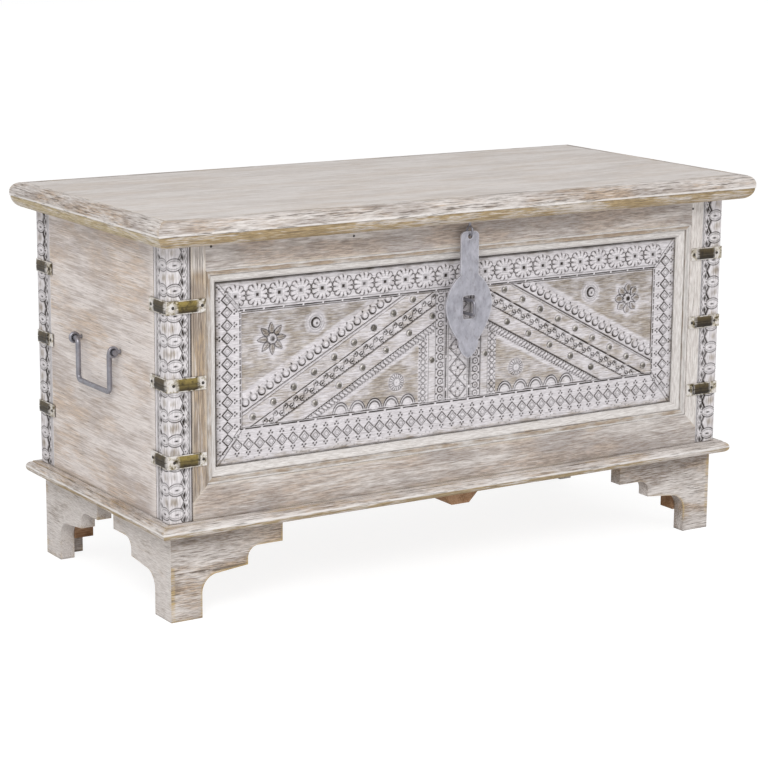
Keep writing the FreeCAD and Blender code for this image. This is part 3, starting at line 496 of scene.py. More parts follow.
@dataclass(frozen=True)
class AgedMetal:
    """Forged or sheet metal gone dull: mottled colour, soft gloss, small dents and smears of whitewash.

    The mesh may carry two values: wash, where whitewash was brushed over the metal, and grime, where it is
    tarnished; on the strap bars grime darkens the lower half, tarnish and painted shade together. Sizes are
    millimetres, and a turn is where a step over a value starts and ends.
    """

    name: str
    bright: str
    dull: str
    stain: str
    metallic: float
    roughness: float
    gloss_range: float = 0.12
    paint: str = "#DCD7D3"
    brushed_turn: Pair = (0.62, 0.45)
    mottle: float = 14.0
    stain_size: float = 9.0
    stain_turn: Pair = (0.5, 0.66)
    stain_share: float = 0.4
    dent: float = 6.0
    dent_depth: float = 0.25
    # Pale colour on sharp edges: rubbed wear and painted highlight together
    rubbed: str | None = None
    rubbed_size: float = 2.2
    pale_edge_turn: Pair = (0.8, 0.45)
    pale_edge_strength: float = 0.8
    # Colour of the hollows: dirt and painted shade together
    dirt: str = "#3A342E"
    dirt_size: float = 5.0
    dirt_turn: Pair = (0.7, 0.25)
    dirt_strength: float = 0.7
    drawn: float = 1.0

    def build(self) -> Material:
        """Makes the material.

        Returns:
            The material.
        """
        material, tree = blank_material(self.name)
        add = partial(add_node, tree)
        spot = add("ShaderNodeTexCoord").outputs["Object"]
        place = add("ShaderNodeMapping", Vector=spot, Scale=(1.0, 1.0, 1.0 / self.drawn))
        mottle, stain, dent = (
            add(NOISE, Vector=place, Scale=1000.0 / size, Detail=detail, Roughness=0.66)
            for size, detail in ((self.mottle, 5.0), (self.stain_size, 6.0), (self.dent, 2.0))
        )
        wash, grime = (
            add("ShaderNodeAttribute", {"attribute_name": layer}).outputs["Fac"]
            for layer in ("wash", "grime")
        )
        coat = add(MIX, COLOUR, i0=mottle, i6=linear(self.dull), i7=linear(self.bright))
        spots = add(RANGE, Value=stain, **span(self.stain_turn), To_Max=self.stain_share)
        coat = add(MIX, COLOUR, i0=spots, i6=coat, i7=linear(self.stain))
        # Grime darkens towards the stain: tarnish, and on the strap bars also painted shade on their lower
        # half
        coat = add(MIX, COLOUR, i0=grime, i6=coat, i7=linear(self.stain))
        brushed = add(RANGE, Value=stain, **span(self.brushed_turn))
        painted = add(MATH, MULTIPLY, i0=wash, i1=brushed)
        coat = add(MIX, COLOUR, i0=painted, i6=coat, i7=linear(self.paint))
        # Sharp edges turn pale: rubbed wear and painted highlight together
        if self.rubbed is not None:
            sharp = add(OCCLUSION, SHARP_EDGES, Distance=metres(self.rubbed_size)).outputs["AO"]
            edge = add(RANGE, Value=sharp, **span(self.pale_edge_turn), To_Max=self.pale_edge_strength)
            coat = add(MIX, COLOUR, i0=edge, i6=coat, i7=linear(self.rubbed))
        # Hollows darken: dirt and painted shade together
        hollow = add(OCCLUSION, HOLLOWS, Distance=metres(self.dirt_size)).outputs["AO"]
        dirt = add(RANGE, Value=hollow, **span(self.dirt_turn), To_Max=self.dirt_strength)
        coat = add(MIX, COLOUR, i0=dirt, i6=coat, i7=linear(self.dirt))
        rougher, smoother = self.roughness + self.gloss_range, self.roughness - self.gloss_range
        gloss = add(RANGE, Value=mottle, To_Min=rougher, To_Max=smoother)
        shine = add(RANGE, Value=painted, To_Min=self.metallic, To_Max=0.0)
        bump = add(BUMP, Strength=0.5, Distance=metres(self.dent_depth), Height=dent)
        add(OUTPUT, Surface=add(SHADER, Base_Color=coat, Roughness=gloss, Metallic=shine, Normal=bump))
        return material


@dataclass(frozen=True)
class Finishes:
    """Every finish of the chest, made once."""

    along: Material
    deep: Material
    upright: Material
    upright_worn: Material
    mould_along: Material
    mould_upright: Material
    foot_along: Material
    foot_deep: Material
    lid_top: Material
    nosing_along: Material
    nosing_deep: Material
    base_along: Material
    base_deep: Material
    bare: Material
    bare_deep: Material
    carved_along: Material
    carved_upright: Material
    brass: Material
    brass_dark: Material
    stud: Material
    nail: Material
    hasp: Material
    iron: Material

    @classmethod
    def make(cls, lid_split: float, base_split: float, lid_seams: Pair, foot_joint: float) -> Finishes:
        """Makes the finishes.

        Args:
            lid_split: height of the line on the lid's nosing below which the wood is bare tan.
            base_split: the same on the base moulding.
            lid_seams: where the lid's board meets its nosings, from the middle in X and in Y.
            foot_joint: height of the glued joint across the front and back brackets.

        Returns:
            The finishes.
        """
        # What sets each finish apart from plain whitewash or plain metal
        bare = {
            "wash": "#B9967A", "wash_shade": "#A37F61", "wood": "#9B7757", "wood_grey": "#967458",
            "wood_dark": "#7D5B40", "worn_edge": "#9B7757", "fleck": "#C2A68C",
        }
        calm = {
            "wash": "#DED8D5", "wash_shade": "#D2CCC8", "wood": "#D3C9C1", "wood_grey": "#CDC7C4",
            "wood_dark": "#C4BAB2", "pore_strength": 0.3,
        }
        pale = {
            "wash": "#EAE2DE", "wash_shade": "#D6CDC8", "wood": "#D6C2B0", "wood_grey": "#C6BDBA",
            "wood_dark": "#B3A59B", "patches": (190.0, 36.0), "streaks": (52.0, 2.0),
            "shades": (34.0, 1.6),
        }
        edge = {
            "bare": 0.98, "worn_edge": "#C3A97D", "pores": (34.0, 2.3), "pore_share": 0.46,
            "pore_strength": 0.8, "edge_strength": 0.35, "tan_kept": 0.75,
        }
        base = {
            "bare": 0.96, "tan": "#B3A083", "worn_edge": "#C3A97D", "pores": (38.0, 1.9),
            "pore_share": 0.45, "pore_strength": 0.7,
        }
        lined = {
            "bare": 1.16, "wood": "#B8A288", "wood_grey": "#A99A8C", "pores": (80.0, 1.8),
            "pore_share": 0.47, "pore_strength": 0.8, "whiter": (2, 516.0, 532.0),
        }
        foot = {
            "wood_dark": "#857769", "worn_edge": "#BFA677", "patches": (100.0, 34.0),
            "streaks": (30.0, 1.9), "pore_share": 0.45, "pore_strength": 0.8, "edge_strength": 0.9,
            "shade_range": 0.11,
        }
        foot_end = {**foot, "pore_share": 0.42, "pore_strength": 0.55, "shade_range": 0.15, "bare": 0.82}
        end_tan = {"tan": "#CBBD9F", "tan_shade": "#AC9A7A"}
        warm = {"wood": "#C5B4A7", "wood_grey": "#B5ADAA", "wood_dark": "#998D84"}
        rim = {"wood": "#C3AE98", "wood_dark": "#A39382", "wash": "#E6E2DF", "wash_shade": "#C8C2BE"}
        hammered = {"mottle": 11.0, "stain_size": 6.0, "dent": 5.5, "dent_depth": 0.9, "drawn": 1.8}
        long_seam, deep_seam = (1, lid_seams[1]), (0, lid_seams[0])
        return cls(
            along=Whitewash("whitewash_along", Grain.LENGTH, **warm, bare=1.1).build(),
            deep=Whitewash("whitewash_deep", Grain.DEPTH, **pale, whiter=(1, -140.0, -170.0)).build(),
            upright=Whitewash("whitewash_upright", Grain.HEIGHT, bare=0.62, wash="#E8E3DF").build(),
            upright_worn=Whitewash("whitewash_upright_worn", Grain.HEIGHT, **lined).build(),
            # The foot's top, under the base moulding, is darkened: stain and painted shadow together
            foot_along=Whitewash(
                "foot_along", Grain.LENGTH, **foot, stain_and_shadow=(2, 84.0, 122.0), seam=(2, foot_joint)
            ).build(),
            foot_deep=Whitewash("foot_deep", Grain.DEPTH, **foot_end).build(),
            lid_top=Whitewash("lid_top", Grain.LENGTH, **calm, seam=long_seam).build(),
            nosing_along=Whitewash(
                "nosing_along", Grain.LENGTH, **edge, tan_below=lid_split, seam=long_seam
            ).build(),
            nosing_deep=Whitewash(
                "nosing_deep", Grain.DEPTH, **edge, **end_tan, tan_below=lid_split, seam=deep_seam
            ).build(),
            base_along=Whitewash("base_along", Grain.LENGTH, **base, tan_below=base_split).build(),
            base_deep=Whitewash("base_deep", Grain.DEPTH, **base, tan_below=base_split).build(),
            bare=Whitewash("bare_wood", Grain.LENGTH, **bare).build(),
            bare_deep=Whitewash("bare_wood_deep", Grain.DEPTH, **bare).build(),
            carved_along=CarvedWash("carved_along", Grain.LENGTH).build(),
            carved_upright=CarvedWash(
                "carved_upright", Grain.HEIGHT, wash="#EAE6E8", wash_shade="#CCC7C9", pore_strength=0.3
            ).build(),
            mould_along=CarvedWash("mould_along", Grain.LENGTH, **rim).build(),
            mould_upright=CarvedWash("mould_upright", Grain.HEIGHT, **rim).build(),
            brass=AgedMetal(
                "aged_brass", "#B09C55", "#5C4E2B", "#2E2415", 0.4, 0.34, stain_share=0.85
            ).build(),
            # A darker copy of the brass for bars on faces that catch less light: painted shade
            brass_dark=AgedMetal(
                "dark_brass", "#5E4F2D", "#33291A", "#1D160E", 0.4, 0.4, stain_share=0.8
            ).build(),
            stud=AgedMetal("stud_brass", "#8A857E", "#4A4641", "#35312D", 0.85, 0.36).build(),
            nail=AgedMetal("nail_iron", "#4A4540", "#332F2B", "#221F1C", 0.5, 0.5).build(),
            # The hasp's pale edges: rubbed wear and painted highlight together
            hasp=AgedMetal(
                "hasp_iron", "#D0CFD8", "#75747E", "#6F6B6C", 0.4, 0.46, **hammered, rubbed="#DEDDE2"
            ).build(),
            iron=AgedMetal(
                "forged_iron", "#ABABB3", "#6C6A71", "#6B5140", 0.7, 0.4, stain_share=0.3
            ).build(),
        )


@dataclass
class Relief:
    """Height and patina of a carved face, drawn in strokes over a field of points.

    Attributes:
        u: first coordinate of every point, in millimetres.
        v: second coordinate of every point, in millimetres.
        level: height to start from.
        soft: width of the soft edge of an outline.
        start_wash: share of whitewash to start from.
        height: height of every point over the bare face.
        patina: how dark the cut at every point is, from 0 to 1; some strokes also paint shade into it.
        wash: how much whitewash every point keeps, from 0 to 1.
    """

    u: ndarray
    v: ndarray
    level: float = 0.0
    soft: float = 1.1
    start_wash: float = 0.7
    height: ndarray = field(init=False)
    patina: ndarray = field(init=False)
    wash: ndarray = field(init=False)

    def __post_init__(self) -> None:
        """Starts from a flat face."""
        self.height = np.full_like(self.u, self.level)
        self.patina = np.zeros_like(self.u)
        self.wash = np.full_like(self.u, self.start_wash)

    def inside(self, distance: ndarray) -> ndarray:
        """How far each point lies inside an outline, as a soft step.

        Args:
            distance: distance outside the outline, negative inside.

        Returns:
            1 inside, 0 outside, with a soft edge between.
        """
        step = np.clip(0.5 - distance / self.soft, 0.0, 1.0)
        return step * step * (3.0 - 2.0 * step)

    def set_level(self, distance: ndarray, level: float, wash: float) -> None:
        """Sets the ground inside an outline.

        Args:
            distance: distance outside the outline, negative inside.
            level: its new height.
            wash: its share of whitewash.
        """
        part = self.inside(distance)
        self.height += (level - self.height) * part
        self.wash += (wash - self.wash) * part
        self.patina *= 1.0 - part

    def keep_wash(self, distance: ndarray, size: float, wash: float) -> None:
        """Leaves a soft cloud of whitewash.

        Args:
            distance: distance from the cloud's middle.
            size: how far it reaches.
            wash: its share of whitewash.
        """
        self.wash = np.maximum(self.wash, wash * np.exp(-((distance / size) ** 4)))

    def stain(self, distance: ndarray, wash: float, dark: ndarray | float) -> None:
        """Rubs the whitewash off inside an outline and darkens it.

        Args:
            distance: distance outside the outline, negative inside.
            wash: the share of whitewash left.
            dark: how dark the patina is.
        """
        part = self.inside(distance)
        self.wash += (wash - self.wash) * part
        self.patina = np.maximum(self.patina, dark * part)

    def swell(self, distance: ndarray, reach: float, rise: float) -> None:
        """Raises a rounded swelling inside an outline.

        Args:
            distance: distance outside the outline, negative inside.
            reach: how far in from the outline the swelling reaches its top.
            rise: its height.
        """
        share = np.clip(-distance / reach, 0.0, 1.0)
        self.height += rise * np.sqrt(1.0 - (1.0 - share) ** 2)

    def ridge(
        self, distance: ndarray, width: float, rise: float, wash: float, where: ndarray | float = 1.0
    ) -> None:
        """Leaves a narrow ridge along a line, with its own share of whitewash.

        Args:
            distance: distance from the line.
            width: width of the ridge.
            rise: its height.
            wash: its share of whitewash.
            where: share of the ridge to make at each point.
        """
        share = self._stroke(distance, width) * where
        self.height += rise * share
        self.wash += (wash - self.wash) * share
        self.patina *= 1.0 - share

    def groove(
        self, distance: ndarray, width: float, depth: float, dark: float, where: ndarray | float = 1.0
    ) -> None:
        """Cuts a groove along a line.

        Args:
            distance: distance from the line.
            width: width of the cut.
            depth: depth of the cut.
            dark: how dark its patina is.
            where: share of the cut to make at each point.
        """
        share = self._stroke(distance, width) * where
        self.height -= depth * share
        self.patina = np.maximum(self.patina, dark * np.minimum(1.0, share * 1.5))

    def chip(
        self, distance: ndarray, size: float, depth: float, dark: float, where: ndarray | float = 1.0
    ) -> None:
        """Cuts a small hollow.

        Args:
            distance: distance from the hollow's middle.
            size: its radius.
            depth: its depth.
            dark: how dark its patina is.
            where: share of the cut to make at each point.
        """
        share = np.clip(1.25 - distance / size, 0.0, 1.0)
        share = share * share * (3.0 - 2.0 * share) * where
        self.height -= depth * share
        self.patina = np.maximum(self.patina, dark * share)

    def _stroke(self, distance: ndarray, width: float) -> ndarray:
        """Finds where a stroke cuts.

        Args:
            distance: distance from the stroke's line.
            width: its width.

        Returns:
            1 on the line, falling softly to 0 at the stroke's edges.
        """
        share = np.clip(1.0 - np.abs(distance) / (width * 0.5 + self.soft * 0.35), 0.0, 1.0)
        return share * share * (3.0 - 2.0 * share)


def repeat(value: ndarray, pitch: float, start: ndarray | float = 0.0) -> ndarray:
    """Folds a coordinate into the span of one repeat of a pattern.

    Args:
        value: the coordinate.
        pitch: length of one repeat.
        start: where the middle of a repeat lies.

    Returns:
        Distance from the middle of the nearest repeat.
    """
    return (value - start + pitch / 2) % pitch - pitch / 2


def away(u: ndarray, v: ndarray, stretch: float = 1.0) -> ndarray:
    """Distance from a point, with the second direction pressed together by stretch."""
    return np.hypot(u, v / stretch)


def slab(value: ndarray, low: float, high: float) -> ndarray:
    """Distance outside the stretch from low to high, negative inside."""
    return np.maximum(low - value, value - high)


def place_piece(
    bm: BMesh,
    name: str,
    body: str,
    material: Material,
    replaces: Sequence[str] = (),
    smooth: bool | None = True,
) -> None:
    """Turns a bmesh into a finished piece that rides on a body.

    Args:
        bm: the mesh, in metres; it is freed.
        name: the piece's name.
        body: the body it rides on.
        material: its finish.
        replaces: nodes it stands for.
        smooth: whether its faces are shaded smooth, or None to leave each as it was made.
    """
    if smooth is not None:
        for face in bm.faces:
            face.smooth = smooth
    mesh = bpy.data.meshes.new(name)
    bm.to_mesh(mesh)
    bm.free()
    piece = bpy.data.objects.new(name, mesh)
    bpy.context.scene.collection.objects.link(piece)
    mesh.materials.append(material)
    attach(piece, body)
    if replaces:
        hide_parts(*replaces)
    LOG.info("%s: %d faces on %s", name, len(mesh.polygons), body)


def connected(start: BMVert) -> list[BMVert]:
    """Finds all points that edges join to one.

    Args:
        start: the point to start from.

    Returns:
        The points, the first among them.
    """
    found = [start]
    seen = {start}
    for vert in found:
        near = [edge.other_vert(vert) for edge in vert.link_edges]
        found.extend(other for other in near if other not in seen)
        seen.update(near)
    return found


def add_dome(bm: BMesh, spot: Vector, out: Vector, radius: float, rise: float) -> None:
    """Adds a domed head, its back half sunk in what carries it.

    Args:
        bm: the mesh to add to.
        spot: where it sits, in millimetres.
        out: the way it faces.
        radius: its radius in millimetres.
        rise: its height in millimetres.
    """
    made = bmesh.ops.create_uvsphere(bm, u_segments=16, v_segments=10, radius=metres(radius))
    turn = out.to_track_quat("Z", "Y").to_matrix().to_4x4()
    move = Matrix.Translation(spot / 1000.0) @ turn @ Matrix.Diagonal((1.0, 1.0, rise / radius, 1.0))
    bmesh.ops.transform(bm, matrix=move, verts=made["verts"])


@dataclass
class CarvedPanel:
    """The carved front: borders of rosettes and diamonds round two mirrored fields of slanting strips.

    Heights are over the panel's face. The strips follow one slanting line in the left half.
    """

    face: float
    half: float
    bottom: float
    top: float
    finishes: Finishes
    step: float = 0.95
    top_border: float = 47.0
    side_border: float = 43.0
    bottom_border: float = 53.0
    grime_and_shadow_rim: float = 9.0
    mitre_half: float = 3.4
    thinnest: float = 0.15
    ground: float = 0.6
    border_level: float = 2.6
    strip_level: float = 4.0
    line_foot: Pair = (-368.5, 295.0)
    line_top: Pair = (-86.0, 447.0)
    upper_gaps: int = 8
    lower_pitch: float = 48.0
    lower_start: float = 98.6
    lower_line: float = 43.0
    lower_reach: Pair = (80.0, 360.0)
    chain: Pair = (-34.5, -14.5)
    crescents: float = -25.0
    upper_strip: Pair = (-12.5, 11.5)
    scroll: Pair = (12.5, 31.0)
    lower_strip: Pair = (32.0, 54.5)
    ladder: Pair = (55.5, 66.5)
    middle: float = 43.0
    upright: Pair = (43.0, 57.0)
    upright_bead: float = 73.0
    daisy: Pair = (-334.0, 410.0)
    daisy_petals: int = 8
    daisy_turn: float = 0.35
    ring: Pair = (-258.5, 427.0)
    small: Pair = (-113.0, 319.0)
    small_rays: int = 18
    arch_start: float = -92.0
    arch_pitch: float = 30.4
    crescent_pitch: float = 15.75
    crescent_start: float = 0.65
    scroll_pitch: float = 20.0
    lattice: float = 16.8
    rosettes: int = 22
    rosette_petals: int = 12
    rosette_pitch: float = 37.13
    rosette_start: float = -397.0
    rosette_height: float = 479.0
    diamond: Pair = (8.8, 9.3)
    diamond_pitch: float = 19.25
    low_chain: float = 254.0
    low_chain_half: float = 404.0
    side_chain: float = 410.5
    side_chain_left: float = 263.7
    side_chain_right: float = 273.4

    @property
    def field_half(self) -> float:
        """Half the length of the two fields together."""
        return self.half - self.side_border

    @property
    def field_bottom(self) -> float:
        """Lower edge of the fields."""
        return self.bottom + self.bottom_border

    @property
    def field_top(self) -> float:
        """Upper edge of the fields."""
        return self.top - self.top_border

    def build(self) -> None:
        """Makes the board and the six carved sheets."""
        self._board()
        half, inner = self.half, self.field_half
        sheets: dict[str, tuple[tuple[float, float, float, float], Callable[[Relief], None]]] = {
            "carved_top_border": ((-inner, inner, self.field_top, self.top), self._border),
            "carved_bottom_border": ((-inner, inner, self.bottom, self.field_bottom), self._border),
            "carved_left_border": ((-half, -inner, self.bottom, self.top), self._border),
            "carved_right_border": ((inner, half, self.bottom, self.top), self._border),
            "carved_field_left": ((-inner, 0.0, self.field_bottom, self.field_top), self._field),
            "carved_field_right": ((0.0, inner, self.field_bottom, self.field_top), self._field),
        }
        for name, (area, carve) in sheets.items():
            self._sheet(name, area, carve)

    def _board(self) -> None:
        """Makes the plain board behind the carving, as large as the panel's node."""
        low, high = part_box("front_panel")
        bm = bmesh.new()
        bmesh.ops.create_cube(bm, size=1.0)
        back = high.y
        size = Vector((high.x - low.x, back - metres(self.face), high.z - low.z))
        bmesh.ops.scale(bm, vec=size, verts=bm.verts)
        middle = Vector((0.0, (back + metres(self.face)) / 2, (low.z + high.z) / 2))
        bmesh.ops.translate(bm, vec=middle, verts=bm.verts)
        finish = self.finishes.along
        place_piece(bm, "carved_board", "chest", finish, ["front_panel"], smooth=False)

    def _sheet(
        self, name: str, area: tuple[float, float, float, float], carve: Callable[[Relief], None]
    ) -> None:
        """Makes one carved sheet: a fine grid pushed out by its relief, closed down to the board.

        Args:
            name: the piece's name.
            area: left, right, lower and upper edges in millimetres.
            carve: draws the relief.
        """
        left, right, low, high = area
        bm = bmesh.new()
        patina = bm.verts.layers.float.new("patina")
        wash = bm.verts.layers.float.new("wash")
        bmesh.ops.create_grid(
            bm,
            x_segments=max(2, round((right - left) / self.step)),
            y_segments=max(2, round((high - low) / self.step)),
            size=0.5,
        )
        spots = np.array([vert.co[:2] for vert in bm.verts])
        x = left + (spots[:, 0] + 0.5) * (right - left)
        z = low + (spots[:, 1] + 0.5) * (high - low)
        relief = Relief(x, z, self.border_level)
        carve(relief)
        skirt = bmesh.ops.extrude_edge_only(bm, edges=[edge for edge in bm.edges if edge.is_boundary])
        rim = {vert for vert in skirt["geom"] if isinstance(vert, BMVert)}
        heights = np.maximum(relief.height, self.thinnest)
        for i, vert in enumerate(bm.verts):
            if vert in rim:
                break
            vert.co = (metres(x[i]), metres(self.face - heights[i]), metres(z[i]))
            vert[patina] = relief.patina[i]
            vert[wash] = relief.wash[i]
        for vert in rim:
            across, up = vert.co.x, vert.co.y
            vert.co = (
                metres(left + (across + 0.5) * (right - left)),
                metres(self.face),
                metres(low + (up + 0.5) * (high - low)),
            )
        bmesh.ops.holes_fill(bm, edges=[edge for edge in bm.edges if edge.is_boundary])
        bmesh.ops.recalc_face_normals(bm, faces=bm.faces)
        place_piece(bm, name, "chest", self.finishes.carved_along, ["front_panel"])

    def _border(self, relief: Relief) -> None:
        """Carves the border: rosettes above, diamonds below and at the sides, split by mitre lines.

        Args:
            relief: the face to carve.
        """
        across = self.half - np.abs(relief.u)
        share = np.minimum(across / self.side_border, 1.0) + 0.001
        upper = (self.top - relief.v) / self.top_border < share
        lower = (relief.v - self.bottom) / self.bottom_border < share
        beside = ~(upper | lower)
        # Near the top and outer edges the ground keeps less wash and darkens: grime and painted shadow under
        # the mould
        rim = np.minimum(across, self.top - relief.v)
        rubbed = np.clip(1.0 - rim / self.grime_and_shadow_rim, 0.0, 1.0)
        relief.wash[:] = 0.92 - 0.5 * rubbed
        relief.patina[:] = 0.4 * rubbed
        self._rosettes(relief, upper.astype(float))
        self._low_diamonds(relief, lower.astype(float))
        self._side_diamonds(relief, beside.astype(float))
        for depth, reach in (
            (self.top - relief.v, self.top_border),
            (relief.v - self.bottom, self.bottom_border),
        ):
            near = (across < self.side_border) & (depth < reach)
            line = across - depth * self.side_border / reach
            for offset in (-self.mitre_half, self.mitre_half):
                relief.groove(
                    (line - offset) * 0.7, width=1.4, depth=0.8, dark=0.65, where=near.astype(float)
                )

    def _rosettes(self, relief: Relief, where: ndarray) -> None:
        """Carves the row of rosettes and the dashed line below it.

        Args:
            relief: the face to carve.
            where: the part of the border to carve.
        """
        u = repeat(relief.u, self.rosette_pitch, self.rosette_start)
        v = relief.v - self.rosette_height
        last = self.rosette_start + self.rosette_pitch * (self.rosettes - 0.5)
        first = self.rosette_start - self.rosette_pitch * 0.5
        row = where * (relief.u > first) * (relief.u < last)
        radius = away(u, v)
        petals = self.rosette_petals
        spoke = (np.arctan2(v, u) * petals / (2 * math.pi)) % 1.0 - 0.5
        lobe = 15.2 + 2.8 * np.sqrt(np.clip(1.0 - (2.0 * spoke) ** 2, 0.0, 1.0))
        edge = np.where(row > 0, radius - lobe, FAR)
        width = radius * 2 * math.pi / petals
        beside = np.clip(np.abs(u) / 13.0 - 0.35, 0.15, 1.0)
        relief.swell(edge, reach=3.4, rise=2.0)
        relief.groove(edge - 0.5, width=1.8, depth=2.2, dark=0.85, where=row * beside)
        gap = (np.abs(spoke) - 0.5) * width
        relief.groove(gap, width=1.1, depth=0.8, dark=0.5, where=row * (radius > 9.0) * (radius < 17.0))
        notch = np.hypot(gap, (radius - 14.8) / 1.8)
        # Notches darker above and below each rosette than beside it: painted shadow
        relief.chip(notch, size=1.6, depth=1.8, dark=0.95, where=row * (1.1 - 0.5 * beside))
        square = np.maximum(np.abs(u), np.abs(v))
        relief.groove(square - 4.6, width=1.0, depth=0.5, dark=0.3, where=row)
        relief.chip(square, size=3.5, depth=1.5, dark=1.0, where=row)
        dash = np.abs(repeat(relief.u, 34.0, 9.0)) < 15.5
        relief.groove(relief.v - self.field_top - 1.9, width=2.4, depth=1.6, dark=1.0, where=where * dash)
        relief.ridge(relief.v - self.field_top - 4.2, width=1.4, rise=0.4, wash=1.0, where=where)
        relief.groove(relief.v - self.field_top - 6.0, width=1.1, depth=0.8, dark=0.55, where=where)
        # A dark line along the top edge: painted shadow under the mould, in a shallow groove
        relief.groove(self.top - relief.v - 1.0, width=2.4, depth=1.4, dark=0.85, where=where)

    def _diamond(self, relief: Relief, u: ndarray, v: ndarray, where: ndarray, dark: float) -> None:
        """Carves a chain of diamonds with double outlines and a cluster of three dots on either side.

        Args:
            relief: the face to carve.
            u: distance from the diamond's middle along the chain.
            v: distance from it across the chain.
            where: where the chain is.
            dark: how dark the outlines are.
        """
        wide, tall = self.diamond
        scale = wide * tall / math.hypot(wide, tall)
        ring = np.abs(u) / wide + np.abs(v) / tall
        relief.swell(np.where(where > 0, (ring - 0.94) * scale, FAR), reach=1.8, rise=1.7)
        relief.groove((ring - 0.97) * scale, width=0.8 + 0.8 * dark, depth=2.0, dark=dark, where=where)
        relief.groove((ring - 0.52) * scale, width=1.1, depth=1.0, dark=0.45, where=where)
        for side in (-1, 1):
            for du, dv in ((-2.7, 12.6), (2.7, 12.6), (0.0, 16.0)):
                relief.chip(away(u - du, v - side * dv), size=1.8, depth=1.6, dark=1.0, where=where)

    def _low_diamonds(self, relief: Relief, where: ndarray) -> None:
        """Carves the chain of diamonds along the bottom with the dashed line above it.

        Args:
            relief: the face to carve.
            where: the part of the border to carve.
        """
        u = repeat(relief.u, self.diamond_pitch, self.diamond_pitch / 2)
        row = where * (np.abs(relief.u) < self.low_chain_half)
        self._diamond(relief, u, relief.v - self.low_chain, row, 0.75)
        dash = np.abs(repeat(relief.u, 31.0, 5.0)) < 13.5
        line = self.field_bottom - relief.v - 2.2
        relief.groove(line, width=2.4, depth=1.6, dark=1.0, where=where * dash)
        relief.groove(relief.v - self.bottom - 1.0, width=1.8, depth=0.9, dark=0.55, where=where)
        relief.wash -= 0.5 * where * np.clip(1.25 - (relief.v - self.bottom) / 11.0, 0.0, 1.0)
        speck = away(repeat(relief.u, 7.3), relief.v - self.bottom - 5.5 - 2.4 * np.sin(relief.u * 0.31))
        relief.chip(speck, size=1.2, depth=0.6, dark=0.6, where=where * (np.sin(relief.u * 0.083) > -0.2))

    def _side_diamonds(self, relief: Relief, where: ndarray) -> None:
        """Carves the upright chains of diamonds and the dashed line along the field.

        Args:
            relief: the face to carve.
            where: the part of the border to carve.
        """
        start = np.where(relief.u < 0, self.side_chain_left, self.side_chain_right)
        v = repeat(relief.v, self.diamond_pitch, start)
        self._diamond(relief, v, np.abs(relief.u) - self.side_chain, where, 1.0)
        inner = np.abs(relief.u) - self.field_half
        dash = np.abs(repeat(relief.v, 10.0)) < 4.0
        relief.groove(inner - 2.0, width=2.2, depth=1.4, dark=1.0, where=where * dash)
        relief.groove(self.half - np.abs(relief.u) - 1.0, width=1.8, depth=0.9, dark=0.6, where=where)

    def _field(self, relief: Relief) -> None:
        """Carves one half of the field; the right half mirrors the left.

        Args:
            relief: the face to carve.
        """
        x = -np.abs(relief.u)
        z = relief.v
        relief.height[:] = self.ground
        relief.wash[:] = 0.32
        run = math.dist(self.line_foot, self.line_top)
        along = ((self.line_top[0] - self.line_foot[0]) / run, (self.line_top[1] - self.line_foot[1]) / run)
        s = (x - self.line_foot[0]) * along[0] + (z - self.line_foot[1]) * along[1]
        d = (x - self.line_foot[0]) * along[1] - (z - self.line_foot[1]) * along[0]
        # The ground grows darker towards the top of the field
        relief.patina[:] = 0.2 * np.clip((z - self.field_top) / 60.0 + 1.0, 0.0, 1.0)
        relief.keep_wash(d - self.chain[0], size=8.5, wash=0.8)
        relief.keep_wash(d - self.ladder[1], size=8.5, wash=0.8)
        self._flowers(relief, x, z)
        self._arches(relief, x, z)
        self._uprights(relief, x, z, (d > self.ladder[1]).astype(float))
        self._slants(relief, s, d, slab(x, -self.field_half - 9.0, -self.middle))
        relief.keep_wash(away(repeat(s, run / self.upper_gaps), d + 1.5), size=9.0, wash=1.0)
        stud = away(repeat(s, self.lower_pitch, self.lower_start), d - self.lower_line)
        lower = np.where(slab(s, *self.lower_reach) < 0, stud, FAR)
        relief.keep_wash(lower, size=9.0, wash=1.0)
        upper = np.where(np.abs(d) < 9.0, away(repeat(s, run / self.upper_gaps), d), FAR)
        for studs in (upper, lower):
            relief.groove(studs - 5.4, width=1.3, depth=0.5, dark=0.4)
        self._middle(relief, x, z)
        edge = np.minimum(z - self.field_bottom, self.field_top - z)
        relief.groove(edge - 0.8, width=1.6, depth=0.5, dark=0.5)
        relief.ridge(edge - 2.6, width=1.6, rise=0.5, wash=0.9)
        relief.groove(self.field_half + x - 0.8, width=1.4, depth=0.5, dark=0.4)

